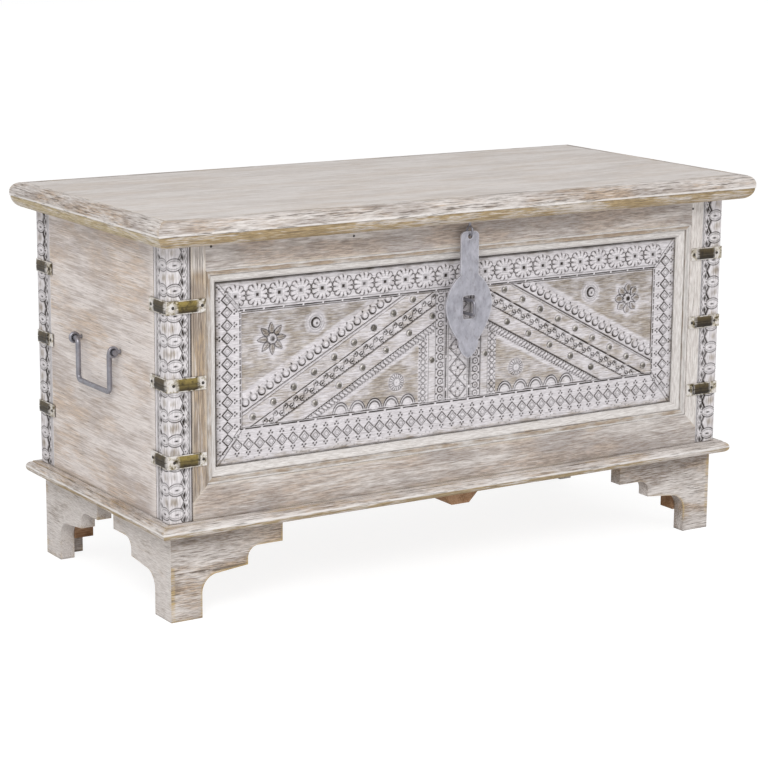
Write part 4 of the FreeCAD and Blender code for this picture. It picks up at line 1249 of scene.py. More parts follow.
    def _slants(self, relief: Relief, s: ndarray, d: ndarray, outside: ndarray) -> None:
        """Carves the slanting strips: crescent chain, studded strip, scrolls, studded strip and bead ladder.

        Args:
            relief: the face to carve.
            s: distance along the strips.
            d: distance across them, from the upper studs towards the lower middle.
            outside: distance outside the strips' part of the field.
        """
        here = (outside < 0).astype(float)
        for (low, high), level, wash in (
            (self.chain, self.border_level, 0.72),
            (self.upper_strip, self.strip_level, 0.5),
            (self.scroll, self.border_level, 0.62),
            (self.lower_strip, self.strip_level, 0.54),
            (self.ladder, self.border_level, 0.8),
        ):
            relief.set_level(np.maximum(slab(d, low, high), outside), level=level, wash=wash)
        along = repeat(s, self.crescent_pitch, self.crescent_start)
        self._crescents(relief, along, d - self.crescents, here)
        self._scrolls(relief, s, d - sum(self.scroll) / 2, here)
        self._ladder(relief, s, d - sum(self.ladder) / 2, here)
        relief.groove(d - self.upper_strip[0] + 2.0, width=1.5, depth=1.0, dark=0.8, where=here)
        relief.ridge(d - self.upper_strip[0] + 0.2, width=1.7, rise=0.6, wash=1.0, where=here)
        relief.groove(d - self.upper_strip[0] - 1.8, width=1.1, depth=0.7, dark=0.5, where=here)
        dash = (np.abs(repeat(s, 44.0, 9.0)) < 19.0).astype(float)
        relief.groove(d - self.upper_strip[1], width=2.3, depth=1.6, dark=1.0, where=here * dash)
        relief.ridge(d - self.scroll[0] - 1.6, width=1.4, rise=0.4, wash=1.0, where=here)
        relief.groove(d - self.lower_strip[0], width=1.2, depth=0.9, dark=0.7, where=here)
        relief.groove(d - self.lower_strip[1], width=1.6, depth=1.2, dark=0.85, where=here)

    def _crescents(self, relief: Relief, ds: ndarray, dd: ndarray, here: ndarray) -> None:
        """Carves a chain of domes, each in a groove darker on its lower side as painted shade, with a tick
        above it.

        Args:
            relief: the face to carve.
            ds: distance along the strips from the middle of the nearest dome.
            dd: distance across them from it.
            here: the strips' part of the field.
        """
        radius = away(ds, dd)
        lean = (0.85 * dd - 0.2 * ds) / np.maximum(radius, 1.0)
        # The groove is weighted darker towards each dome's lower side: painted shade
        shaded = np.clip(0.62 + 0.6 * lean, 0.1, 1.0)
        relief.swell(np.where(here > 0, radius - 4.6, FAR), reach=4.2, rise=3.0)
        relief.keep_wash(np.where(here > 0, radius, FAR), size=4.4, wash=1.0)
        relief.groove(radius - 5.7, width=3.0, depth=2.2, dark=1.0, where=here * shaded)
        relief.chip(away(ds + 1.0, dd + 7.6, 1.5), size=1.7, depth=1.1, dark=0.9, where=here)
        relief.chip(away(ds + 6.5, dd + 4.2), size=1.4, depth=1.0, dark=0.7, where=here)

    def _scrolls(self, relief: Relief, s: ndarray, d: ndarray, here: ndarray) -> None:
        """Carves a running vine with a curl on either side by turns, and groups of three dots.

        Args:
            relief: the face to carve.
            s: distance along the strips.
            d: distance across them, from the middle of this one.
            here: the strips' part of the field.
        """
        pitch = self.scroll_pitch
        vine = d + 0.5 - 4.6 * np.sin(s * 2 * math.pi / pitch)
        relief.groove(vine, width=1.6, depth=1.2, dark=0.95, where=here)
        for across, shift in ((-3.6, 0.75), (3.0, 0.25)):
            ds = repeat(s, pitch, pitch * shift)
            curl = away(ds, d - across)
            fading = 0.35 + 0.65 * (ds * across < 2.0).astype(float)
            relief.groove(curl - 4.0, width=1.6, depth=1.1, dark=0.95, where=here * fading)
            relief.chip(curl, size=1.7, depth=1.1, dark=1.0, where=here)
        for i in (-1, 0, 1):
            dot = away(repeat(s, pitch, pitch / 2 + 4.6 * i), d - 9.0)
            relief.chip(dot, size=1.5, depth=1.2, dark=0.95, where=here)

    def _ladder(self, relief: Relief, s: ndarray, d: ndarray, here: ndarray) -> None:
        """Carves a row of slanting beads between two dotted lines.

        Args:
            relief: the face to carve.
            s: distance along the strips.
            d: distance across them, from the middle of this one.
            here: the strips' part of the field.
        """
        bead = away(repeat(s - 0.5 * d, 6.9), d, 1.5)
        relief.swell(np.where((here > 0) & (np.abs(d) < 4.5), bead - 2.8, FAR), reach=2.0, rise=1.0)
        relief.groove(bead - 3.2, width=1.2, depth=0.9, dark=0.65, where=here * (np.abs(d) < 4.0))
        for side in (-1, 1):
            dot = away(repeat(s, 5.2, 2.6 * side), d - side * 5.2)
            relief.chip(dot, size=1.6, depth=1.0, dark=0.85, where=here)

    def _flowers(self, relief: Relief, x: ndarray, z: ndarray) -> None:
        """Carves the daisy, the ringed boss and the small rosette.

        Args:
            relief: the face to carve.
            x: distance from the middle, negative.
            z: height.
        """
        self._daisy(relief, x - self.daisy[0], z - self.daisy[1])
        self._boss(relief, x - self.ring[0], z - self.ring[1])
        self._small_rosette(relief, x - self.small[0], z - self.small[1])

    def _daisy(self, relief: Relief, u: ndarray, v: ndarray) -> None:
        """Carves the daisy, whose petals are rounder in the right field.

        Args:
            relief: the face to carve.
            u: distance from its middle along the panel.
            v: distance from it upwards.
        """
        radius = away(u, v)
        petals = self.daisy_petals
        spoke = ((np.arctan2(v, u) + self.daisy_turn) * petals / (2 * math.pi)) % 1.0 - 0.5
        width = np.abs(spoke) * radius * 2 * math.pi / petals
        share = np.clip((radius - 7.0) / 18.0, 0.0, 1.0)
        rounder = relief.u > 0
        petal = width - np.where(rounder, 6.0, 4.4) * np.sin(math.pi * share ** np.where(rounder, 1.5, 0.8))
        petal = np.where((radius > 7.0) & (radius < 25.0), petal, FAR)
        relief.keep_wash(radius - 3.0 * np.cos(2 * math.pi * spoke), size=31.0, wash=1.0)
        relief.swell(petal, reach=2.6, rise=2.0)
        relief.stain(petal + np.where(rounder, 1.8, 0.9), wash=0.25, dark=0.16)
        near = (np.abs(petal) < 4.0).astype(float)
        relief.groove(petal - 0.1, width=1.5, depth=1.0, dark=0.85, where=near)
        vein = np.where(petal < 0, width, FAR)
        relief.groove(vein, width=1.1, depth=0.9, dark=0.6, where=(radius > 11.0) & (radius < 22.0))
        relief.swell(radius - 8.4, reach=3.0, rise=3.0)
        relief.keep_wash(radius, size=8.0, wash=1.0)
        relief.groove(radius - 8.6, width=1.6, depth=1.2, dark=0.8)
        relief.chip(radius, size=5.2, depth=0.8, dark=1.0)
        relief.swell(radius - 3.6, reach=3.0, rise=2.2)

    def _boss(self, relief: Relief, u: ndarray, v: ndarray) -> None:
        """Carves the boss in its ring.

        Args:
            relief: the face to carve.
            u: distance from its middle along the panel.
            v: distance from it upwards.
        """
        radius = away(u, v)
        relief.keep_wash(radius, size=20.0, wash=1.0)
        relief.swell(radius - 15.0, reach=3.0, rise=1.4)
        relief.groove(radius - 15.6, width=1.2, depth=0.6, dark=0.3)
        relief.groove(radius - 11.0, width=1.2, depth=0.8, dark=0.5)
        relief.swell(radius - 8.0, reach=4.5, rise=3.0)
        relief.groove(radius - 7.2, width=3.4, depth=1.4, dark=1.0)
        relief.chip(away(u - 0.6, v + 0.4), size=2.6, depth=0.8, dark=0.9)

    def _small_rosette(self, relief: Relief, u: ndarray, v: ndarray) -> None:
        """Carves the small rosette of fine rays.

        Args:
            relief: the face to carve.
            u: distance from its middle along the panel.
            v: distance from it upwards.
        """
        radius = away(u, v)
        rays = self.small_rays
        spoke = np.abs((np.arctan2(v, u) * rays / (2 * math.pi)) % 1.0 - 0.5) * radius * 2 * math.pi / rays
        relief.keep_wash(radius, size=17.0, wash=0.85)
        relief.swell(radius - 13.0, reach=4.0, rise=2.0)
        ray = ((radius > 5.5) & (radius < 13.0)).astype(float)
        relief.groove(spoke, width=1.1, depth=1.0, dark=0.85, where=ray)
        relief.groove(radius - 13.4, width=1.2, depth=0.9, dark=0.5)
        relief.chip(radius, size=2.0, depth=0.9, dark=0.3)

    def _arches(self, relief: Relief, x: ndarray, z: ndarray) -> None:
        """Carves the row of arches along the foot of the lower triangle.

        Args:
            relief: the face to carve.
            x: distance from the middle, negative.
            z: height.
        """
        pitch = self.arch_pitch
        u = repeat(x, pitch, self.arch_start)
        radius = away(u, (z - self.field_bottom) * 0.78)
        row = (slab(x, self.arch_start - 4.5 * pitch, self.arch_start + 0.5 * pitch) < 0).astype(float)
        relief.set_level(np.where(row > 0, radius - 15.0, FAR), level=self.ground + 0.3, wash=0.9)
        for ring, wide, dark in ((14.0, 1.8, 0.9), (10.6, 2.4, 0.75)):
            relief.groove(radius - ring, width=wide, depth=1.0, dark=dark, where=row)
        relief.swell(np.where(row > 0, radius - 6.4, FAR), reach=4.0, rise=1.8)

    def _uprights(self, relief: Relief, x: ndarray, z: ndarray, below: ndarray) -> None:
        """Carves the plain upright with its stud and the bead column beside it.

        Args:
            relief: the face to carve.
            x: distance from the middle, negative.
            z: height.
            below: where the slanting strips leave room for them.
        """
        low, high = self.upright
        far = self.upright_bead
        hidden = np.where(below > 0, -FAR, FAR)
        relief.set_level(np.maximum(slab(-x, high, far), hidden), level=self.border_level, wash=0.78)
        here = below * (slab(-x, high, far) < 0)
        middle = (high + far) / 2
        bead = away(-x - middle, repeat(z, 9.6))
        relief.swell(np.where(here > 0, bead - 3.4, FAR), reach=2.4, rise=1.2)
        relief.groove(bead - 4.0, width=1.4, depth=1.0, dark=0.75, where=here)
        for side in (-1, 1):
            dot = away(-x - middle - side * 6.4, repeat(z, 6.4, 3.2 * side))
            relief.chip(dot, size=1.6, depth=1.1, dark=0.95, where=here)
        relief.set_level(np.maximum(slab(-x, low, high), hidden), level=self.strip_level, wash=0.66)
        relief.ridge(x + high + 0.6, width=1.6, rise=0.5, wash=1.0, where=below)
        relief.groove(x + high - 1.2, width=1.2, depth=0.8, dark=0.55, where=below)

    def _middle(self, relief: Relief, x: ndarray, z: ndarray) -> None:
        """Carves the curls, the dashed lines and the lattice of florets between the two fields.

        Args:
            relief: the face to carve.
            x: distance from the middle, negative.
            z: height.
        """
        relief.set_level(-self.middle - x, level=self.border_level, wash=0.82)
        inside = (x > -self.middle).astype(float)
        column = inside * (slab(-x, 26.0, self.middle - 0.5) < 0)
        curl = away(-x - 33.0, repeat(z, 13.0))
        relief.swell(np.where(column > 0, curl - 4.0, FAR), reach=3.0, rise=1.2)
        relief.groove(curl - 4.6, width=1.6, depth=1.1, dark=0.85, where=column)
        relief.chip(curl, size=1.6, depth=1.0, dark=0.85, where=column)
        relief.chip(away(-x - 39.8, repeat(z, 13.0, 6.5)), size=2.0, depth=1.4, dark=1.0, where=column)
        relief.chip(away(-x - 27.6, repeat(z, 6.5, 3.2)), size=1.3, depth=0.9, dark=0.75, where=column)
        relief.groove(x + self.middle - 0.6, width=1.3, depth=1.1, dark=0.7, where=inside)
        dash = (np.abs(repeat(z, 52.0, self.field_top - 27.0)) < 24.0).astype(float)
        relief.groove(x + 22.0, width=2.4, depth=1.6, dark=1.0, where=inside * dash)
        relief.groove(x + 24.8, width=1.1, depth=0.9, dark=0.6, where=inside)
        relief.groove(x + 18.4, width=1.1, depth=0.9, dark=0.55, where=inside)
        cell = self.lattice
        centre = (np.abs(x) < cell).astype(float)
        v = repeat(z, 2 * cell, self.field_bottom + cell)
        lattice = (np.abs(x) + np.abs(v) - cell) * 0.7
        relief.groove(lattice, width=1.5, depth=1.1, dark=0.8, where=centre)
        radius, turn = away(x, v), np.arctan2(v, x)
        leaf = cell * 0.78 * np.abs(np.cos(2 * turn)) ** 0.7
        relief.swell(np.where(centre > 0, radius - leaf, FAR), reach=3.0, rise=1.3)
        outline = np.where(radius < cell, radius - leaf, FAR)
        relief.groove(outline, width=1.3, depth=1.0, dark=0.75, where=centre)
        relief.chip(radius, size=2.6, depth=1.3, dark=0.9, where=centre)
        corner = away(np.abs(x) - cell, np.abs(v) - cell)
        relief.groove(corner - 5.0, width=1.2, depth=0.9, dark=0.6, where=centre)


@dataclass
class PanelMould:
    """One side of the mould round the panel: a white slope, a step in painted shade, a worn tan band and a
    bead.

    The profile runs from the inner edge outwards: width, height over the panel, patina and whitewash; the
    patina at the lip, on the step and at the outer edge is painted shade. Each side has its own depth of
    painted shade at the lip, strongest at the top, and has worn in its own way on the band and on the bead.
    """

    side: Side
    panel: CarvedPanel
    finishes: Finishes
    lip_dark: float
    band_wash: float
    bead_wash: float
    profile: tuple[tuple[float, float, float, float], ...] = (
        (0.0, 0.0, 1.0, 0.8),
        (0.9, 1.4, 0.5, 0.9),
        (1.8, 2.9, 0.0, 1.0),
        (5.0, 8.0, 0.0, 1.0),
        (11.8, 10.6, 0.0, 0.9),
        (13.2, 11.2, 0.3, 0.6),
        (14.0, 11.5, 0.6, 0.4),
        (14.0, 13.0, 0.2, 0.6),
        (14.9, 13.2, 0.1, 0.3),
        (19.6, 13.9, 0.25, 0.15),
        (20.6, 14.1, 0.0, 1.0),
        (22.4, 14.4, 0.0, 1.0),
        (23.0, 14.5, 0.6, 0.6),
        (23.0, 0.0, 0.5, 0.2),
    )
    lip: float = 1.0
    band: float = 14.5
    bead: float = 20.0

    def build(self) -> None:
        """Makes the bar with mitred ends in place of its node."""
        bm = bmesh.new()
        patina = bm.verts.layers.float.new("patina")
        wash = bm.verts.layers.float.new("wash")
        first = [bm.verts.new(self._spot(width, rise, -1)) for width, rise, _, _ in self.profile]
        made = bmesh.ops.extrude_face_region(bm, geom=[bm.faces.new(first)])["geom"]
        second = [vert for vert in made if isinstance(vert, BMVert)]
        for start in first:
            end = next(vert for vert in second if (vert.co - start.co).length < 1e-7)
            second.remove(end)
            width, rise, dark, kept = self.profile[first.index(start)]
            if width > self.bead:
                kept = min(kept, self.bead_wash)
                dark = max(dark, 0.5 * (1.0 - kept))
            elif width > self.band:
                kept = max(kept, self.band_wash)
            elif width < self.lip:
                dark *= self.lip_dark
            end.co = self._spot(width, rise, 1)
            for vert in (start, end):
                vert[patina], vert[wash] = dark, kept
        bmesh.ops.recalc_face_normals(bm, faces=bm.faces)
        upright = self.side in (Side.LEFT, Side.RIGHT)
        finish = self.finishes.mould_upright if upright else self.finishes.mould_along
        node = f"panel_mould_{self.side.value}"
        place_piece(bm, f"{node}_washed", "chest", finish, [node], smooth=False)

    def _spot(self, width: float, rise: float, end: int) -> Vector:
        """Finds the place of a profile point at one mitred end.

        Args:
            width: distance out from the inner edge.
            rise: height over the panel.
            end: -1 or 1 for the left or lower end, or the right or upper one.

        Returns:
            The place in metres.
        """
        across = self.panel.half + width
        low, high = self.panel.bottom - width, self.panel.top + width
        x, z = {
            Side.TOP: (end * across, high),
            Side.BOTTOM: (end * across, low),
            Side.LEFT: (-across, high if end > 0 else low),
            Side.RIGHT: (across, high if end > 0 else low),
        }[self.side]
        return Vector((x, self.panel.face - rise, z)) / 1000.0


@dataclass
class CarvedPost:
    """A corner post carved round its outer edge: barrels and eyes on it, chips and fine lines beside."""

    corner: Corner
    finishes: Finishes
    step: float = 1.0
    repeat_height: float = 37.0
    first_eye: float = 14.2
    barrel_reach: float = 25.0
    eye_reach: float = 12.6
    eye_half: float = 9.0

    def build(self) -> None:
        """Makes the post in place of its node."""
        node = f"corner_post_{self.corner.node}"
        low, high = (corner * 1000.0 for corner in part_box(node))
        side_x, side_y = self.corner.value
        wide, deep, tall = high - low
        outer = Vector((low.x if side_x < 0 else high.x, low.y if side_y < 0 else high.y))
        bm = bmesh.new()
        patina = bm.verts.layers.float.new("patina")
        wash = bm.verts.layers.float.new("wash")
        columns = round((wide + deep) / self.step)
        bmesh.ops.create_grid(bm, x_segments=columns, y_segments=round(tall / self.step), size=0.5)
        spots = np.array([vert.co[:2] for vert in bm.verts])
        u = (spots[:, 0] + 0.5) * (wide + deep) - deep
        z = low.z + (spots[:, 1] + 0.5) * tall
        relief = Relief(np.abs(u), z, 0.0)
        self._carve(relief, z - low.z, carved_front=side_y < 0, front=u > 0)
        relief.patina[np.abs(z - low.z - tall / 2) > tall / 2 - 0.01] = 0.0
        bm.verts.index_update()
        borders = [
            [edge for edge in bm.edges if edge.is_boundary and self._on_end(edge, u, limit)]
            for limit in (-deep, wide)
        ]
        for i, vert in enumerate(bm.verts):
            depth = min(0.0, float(relief.height[i]))
            along, back = max(u[i], 0.0), max(-u[i], 0.0)
            into_x = -depth if u[i] <= 0 else 0.0
            into_y = -depth if u[i] >= 0 else 0.0
            x = outer.x - side_x * max(along, into_x)
            y = outer.y - side_y * max(back, into_y)
            vert.co = (metres(x), metres(y), metres(z[i]))
            vert[patina] = relief.patina[i]
            vert[wash] = relief.wash[i]
        inner = (metres(outer.x - side_x * wide), metres(outer.y - side_y * deep))
        for border in borders:
            made = bmesh.ops.extrude_edge_only(bm, edges=border)
            for vert in (part for part in made["geom"] if isinstance(part, BMVert)):
                vert.co.x, vert.co.y = inner
        bmesh.ops.remove_doubles(bm, verts=bm.verts, dist=1e-6)
        bmesh.ops.holes_fill(bm, edges=[edge for edge in bm.edges if edge.is_boundary])
        bmesh.ops.recalc_face_normals(bm, faces=bm.faces)
        name = f"carved_post_{self.corner.node}"
        place_piece(bm, name, "chest", self.finishes.carved_upright, [node])

    @staticmethod
    def _on_end(edge: BMEdge, u: ndarray, limit: float) -> bool:
        """Whether an edge of the grid lies on the upright border at this distance from the outer edge."""
        return all(abs(u[vert.index] - limit) < 0.01 for vert in edge.verts)

    def _carve(self, relief: Relief, height: ndarray, carved_front: bool, front: ndarray) -> None:
        """Carves both outer faces; u is the distance from the outer edge.

        Args:
            relief: the face to carve.
            height: height over the post's foot.
            carved_front: whether the face across the chest's length is carved too.
            front: which points lie on that face.
        """
        u = relief.u
        where = np.ones_like(u) if carved_front else (~front).astype(float)
        relief.wash[:] = 0.9
        eye_v = repeat(height, self.repeat_height, self.first_eye)
        v = repeat(height, self.repeat_height, self.first_eye + self.repeat_height * 0.5)
        reach = self.barrel_reach - 0.5 * np.abs(v)
        barrel = u - reach
        lens = np.sqrt(np.clip(1.0 - (np.abs(u - self.eye_reach) / 13.2) ** 2, 0.0, 1.0))
        eye = np.abs(eye_v) - self.eye_half * lens
        relief.height -= 2.2 * where * (1.0 - relief.inside(barrel))
        relief.height -= 0.9 * where * np.clip(1.0 - u / 6.0, 0.0, 1.0) ** 2
        relief.groove(barrel - 0.6, width=3.0, depth=1.4, dark=1.0, where=where * (eye > 0.5))
        ends = where * (eye > 0.5) * (np.abs(v) > 3.0)
        relief.groove(barrel - 4.2, width=1.6, depth=0.9, dark=0.8, where=ends)
        relief.wash -= 0.62 * where * np.exp(-(((u - 9.0) / 9.0) ** 2) - (v / 7.5) ** 2)
        on_eye = relief.inside(eye) * where
        relief.height += (-0.3 - relief.height) * on_eye
        relief.patina *= 1.0 - on_eye
        rim = where * (u < 25.5) * (1.0 - 0.4 * lens)
        relief.groove(eye - 0.3, width=2.0, depth=1.6, dark=1.0, where=rim)
        relief.groove(eye + 2.8, width=1.2, depth=0.7, dark=0.55, where=on_eye)
        pupil = np.where(on_eye > 0, away(u - self.eye_reach, eye_v, 0.7) - 5.0, FAR)
        relief.swell(pupil, reach=3.6, rise=0.5)
        relief.chip(away((u - 13.6) / 3.0, eye_v + 0.6), size=1.5, depth=1.1, dark=0.95, where=on_eye)
        for side in (-1, 1):
            slant = u - 27.2 + 0.16 * side * (eye_v - side * 10.0)
            relief.chip(away(slant, eye_v - side * 10.0, 2.7), size=2.5, depth=1.5, dark=1.0, where=where)
            thin = away(slant - 3.4, eye_v - side * 10.0, 3.4)
            relief.chip(thin, size=1.3, depth=0.9, dark=0.7, where=where)
        relief.chip(away(u - 26.0, eye_v, 0.8), size=2.2, depth=1.2, dark=0.9, where=where)
        relief.chip(away(u - 29.5, v), size=1.8, depth=1.1, dark=0.8, where=where)
        wave = u - 33.0 - 0.9 * np.sin(height * 2 * math.pi / 9.5)
        relief.groove(wave, width=1.2, depth=0.8, dark=0.6, where=where)
        relief.groove(u - 35.6, width=1.3, depth=0.9, dark=0.8, where=where)
        relief.ridge(u - 37.2, width=1.4, rise=0.3, wash=1.0, where=where)
        relief.groove(u - 38.9, width=1.5, depth=1.0, dark=0.9, where=where)
        relief.wash -= 0.3 * (1.0 - where)


@dataclass
class CornerStraps:
    """Three brass straps bent round a corner post, each with a half-round bar along either leg and nails."""

    corner: Corner
    finishes: Finishes
    count: int = 3
    tall: float = 20.0
    thick: float = 1.6
    bar_tall: float = 17.5
    bar_rise: float = 2.4
    bar_sides: int = 24
    bar_cuts: int = 9
    bar_body: float = 0.9
    bar_long: float = 0.8
    bar_end: float = 0.05
    bar_end_size: tuple[float, float, float] = (0.82, 0.35, 1.0)
    bar_groove: float = 0.1
    bar_groove_half: float = 0.14
    bar_groove_share: float = 0.5
    tarnish_and_shade: float = 0.85
    tarnish_and_shade_low: Pair = (0.45, 1.5)
    front_bar: Pair = (14.0, 53.0)
    side_bar: Pair = (2.5, 40.5)
    smeared: float = 0.8
    smear_from: float = 0.37
    smear_over: float = 0.12
    nail_from_edge: float = 10.5
    nail_from_end: float = 5.5
    side_nail_from_end: float = 6.5
    nail_radius: float = 2.4
    nail_rise: float = 1.4

    def build(self) -> None:
        """Makes the straps in place of their node, and drives in the nails."""
        node = f"corner_straps_{self.corner.node}"
        low, high = (corner * 1000.0 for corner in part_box(node))
        side_x, side_y = self.corner.value
        outer = Vector((low.x if side_x < 0 else high.x, low.y if side_y < 0 else high.y, 0.0))
        wide, deep = high.x - low.x, high.y - low.y
        pitch = (high.z - low.z - self.tall) / (self.count - 1)
        plates, dark, nails = bmesh.new(), bmesh.new(), bmesh.new()
        for bm in (plates, dark):
            bm.verts.layers.float.new("grime")
            bm.verts.layers.float.new("wash")
        wash = plates.verts.layers.float["wash"]
        into_x, into_y = Vector((-side_x, 0.0, 0.0)), Vector((0.0, -side_y, 0.0))
        for i in range(self.count):
            middle = outer + Vector((0.0, 0.0, low.z + self.tall / 2 + i * pitch))
            self._plate(plates, wash, middle, into_x, into_y, wide, deep)
            # Bars on the ends, and at the right-hand corners also on the long faces, take the darker brass:
            # painted shade
            for bm, along, inward, (start, end) in (
                (plates if side_x < 0 else dark, into_x, into_y, self.front_bar),
                (dark, into_y, into_x, self.side_bar),
            ):
                self._bar(bm, middle + along * (start + end) / 2, along, inward, end - start)
            for spot, out in (
                (into_x * self.nail_from_edge, -into_y),
                (into_x * (wide - self.nail_from_end), -into_y),
                (into_y * (deep - self.side_nail_from_end), -into_x),
            ):
                add_dome(nails, middle + spot, out, self.nail_radius, self.nail_rise)
        for bm, name, finish in (
            (plates, "straps", self.finishes.brass),
            (dark, "strap_bars", self.finishes.brass_dark),
        ):
            bmesh.ops.recalc_face_normals(bm, faces=bm.faces)
            place_piece(bm, f"{name}_{self.corner.node}", "chest", finish, [node], smooth=None)
        name = f"strap_nails_{self.corner.node}"
        place_piece(nails, name, "chest", self.finishes.nail, [node])

    def _plate(
        self,
        bm: BMesh,
        wash: BMLayerItem,
        middle: Vector,
        into_x: Vector,
        into_y: Vector,
        wide: float,
        deep: float,
    ) -> None:
        """Adds the bent plate, whitewashed over.

        Args:
            bm: the mesh to add to.
            wash: the layer that keeps the whitewash.
            middle: the outer edge at half its height.
            into_x: the way along the leg on the front or back.
            into_y: the way along the leg on the end.
            wide: length of the first leg.
            deep: length of the second.
        """
        thick = self.thick
        spots = ((0, 0), (wide, 0), (wide, thick), (thick, thick), (thick, deep), (0, deep))
        foot = middle - Vector((0.0, 0.0, self.tall / 2))
        ring = [bm.verts.new((foot + into_x * u + into_y * v) / 1000.0) for u, v in spots]
        face = bm.faces.new(ring)
        made = bmesh.ops.extrude_face_region(bm, geom=[face])["geom"]
        tops = [part for part in made if isinstance(part, BMVert)]
        bmesh.ops.translate(bm, vec=(0.0, 0.0, metres(self.tall)), verts=tops)
        for vert in ring + tops:
            vert[wash] = 1.0

    def _bar(self, bm: BMesh, middle: Vector, along: Vector, inward: Vector, length: float) -> None:
        """Adds a half-round bar with a groove along it, whitewashed over its ends and darkened on its lower
        half, tarnish and painted shade together.

        Args:
            bm: the mesh to add to.
            middle: the bar's middle on the leg's face.
            along: the way it runs.
            inward: the way into the chest.
            length: its length.
        """
        bar = bmesh.new()
        grime = bar.verts.layers.float.new("grime")
        wash = bar.verts.layers.float.new("wash")
        sides, body = self.bar_sides, self.bar_body
        bmesh.ops.create_cone(bar, cap_ends=True, segments=sides, radius1=0.5, radius2=0.5, depth=body)
        for vert in bar.verts:
            if abs(vert.co.x) < 0.01:
                vert.co.y *= self.bar_groove
            elif abs(vert.co.x) < self.bar_groove_half:
                vert.co.x *= self.bar_groove_share
        for cap in [face for face in bar.faces if len(face.verts) == sides]:
            shift = Vector((0.0, 0.0, math.copysign(self.bar_end, cap.calc_center_median().z)))
            grown = bmesh.ops.extrude_face_region(bar, geom=[cap])["geom"]
            rim = [vert for vert in grown if isinstance(vert, BMVert)]
            bmesh.ops.scale(bar, vec=self.bar_end_size, verts=rim)
            bmesh.ops.translate(bar, vec=shift, verts=rim)
        lengthwise = [edge for edge in bar.edges if edge.calc_length() > self.bar_long]
        bmesh.ops.subdivide_edges(bar, edges=lengthwise, cuts=self.bar_cuts)
        low_share, fade = self.tarnish_and_shade_low
        for vert in bar.verts:
            reach = (abs(vert.co.z) - self.smear_from) / self.smear_over
            vert[wash] = self.smeared * min(1.0, max(0.0, reach))
            # Grime darkens the lower half of the bar: tarnish and painted shade together
            vert[grime] = self.tarnish_and_shade * min(1.0, max(0.0, low_share - fade * vert.co.x))
        for face in bar.faces:
            face.smooth = len(face.verts) == 4
        axes = Matrix((Vector((0.0, 0.0, 1.0)), -inward, along)).transposed().to_4x4()
        size = Matrix.Diagonal((metres(self.bar_tall), metres(2 * self.bar_rise), metres(length), 1.0))
        bmesh.ops.transform(bar, matrix=Matrix.Translation(middle / 1000.0) @ axes @ size, verts=bar.verts)
        mesh = bpy.data.meshes.new("bar")
        bar.to_mesh(mesh)
        bar.free()
        bm.from_mesh(mesh)
        bpy.data.meshes.remove(mesh)


@dataclass
class PanelStuds:
    """Domed metal studs on the strips of the panel."""

    node: Object
    finishes: Finishes
    radius: float = 5.0
    rise: float = 3.6
    bare_from: float = 0.78
    bare_over: float = 0.3

    def build(self) -> None:
        """Makes a smooth dome in the place of each stud of the node."""
        solids = bmesh.new()
        solids.from_mesh(self.node.data)
        bmesh.ops.remove_doubles(solids, verts=solids.verts, dist=1e-6)
        bm = bmesh.new()
        wash = bm.verts.layers.float.new("wash")
        done: set[BMVert] = set()
        for start in solids.verts:
            if start in done:
                continue
            island = connected(start)
            done.update(island)
            low = Vector(min(vert.co[i] for vert in island) for i in range(3)) * 1000.0
            high = Vector(max(vert.co[i] for vert in island) for i in range(3)) * 1000.0
            spot = Vector(((low.x + high.x) / 2, high.y, (low.z + high.z) / 2))
            add_dome(bm, spot, Vector((0.0, -1.0, 0.0)), self.radius, self.rise)
        seat = max(vert.co.y for vert in solids.verts)
        # Whitewash on each dome's shoulder and a bare dark crown; the pale shoulder also stands in for a
        # painted highlight
        for vert in bm.verts:
            share = (seat - vert.co.y) / metres(self.rise)
            vert[wash] = min(1.0, max(0.0, (self.bare_from - share) / self.bare_over))
        solids.free()
        place_piece(bm, "panel_studs_domed", "chest", self.finishes.stud, ["panel_studs"])


@dataclass
class RailNails:
    """Small dark nail heads that hold the top rail, each at its place along the rail and its height."""

    finishes: Finishes
    spots: tuple[Pair, ...] = ((-443.4, 558.7), (-200.8, 555.5), (454.1, 550.6))
    radius: float = 2.0
    rise: float = 0.5

    def build(self) -> None:
        """Makes the heads."""
        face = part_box("front_top_rail")[0].y * 1000.0
        bm = bmesh.new()
        for x, z in self.spots:
            add_dome(bm, Vector((x, face, z)), Vector((0.0, -1.0, 0.0)), self.radius, self.rise)
        place_piece(bm, "rail_nails", "chest", self.finishes.nail)


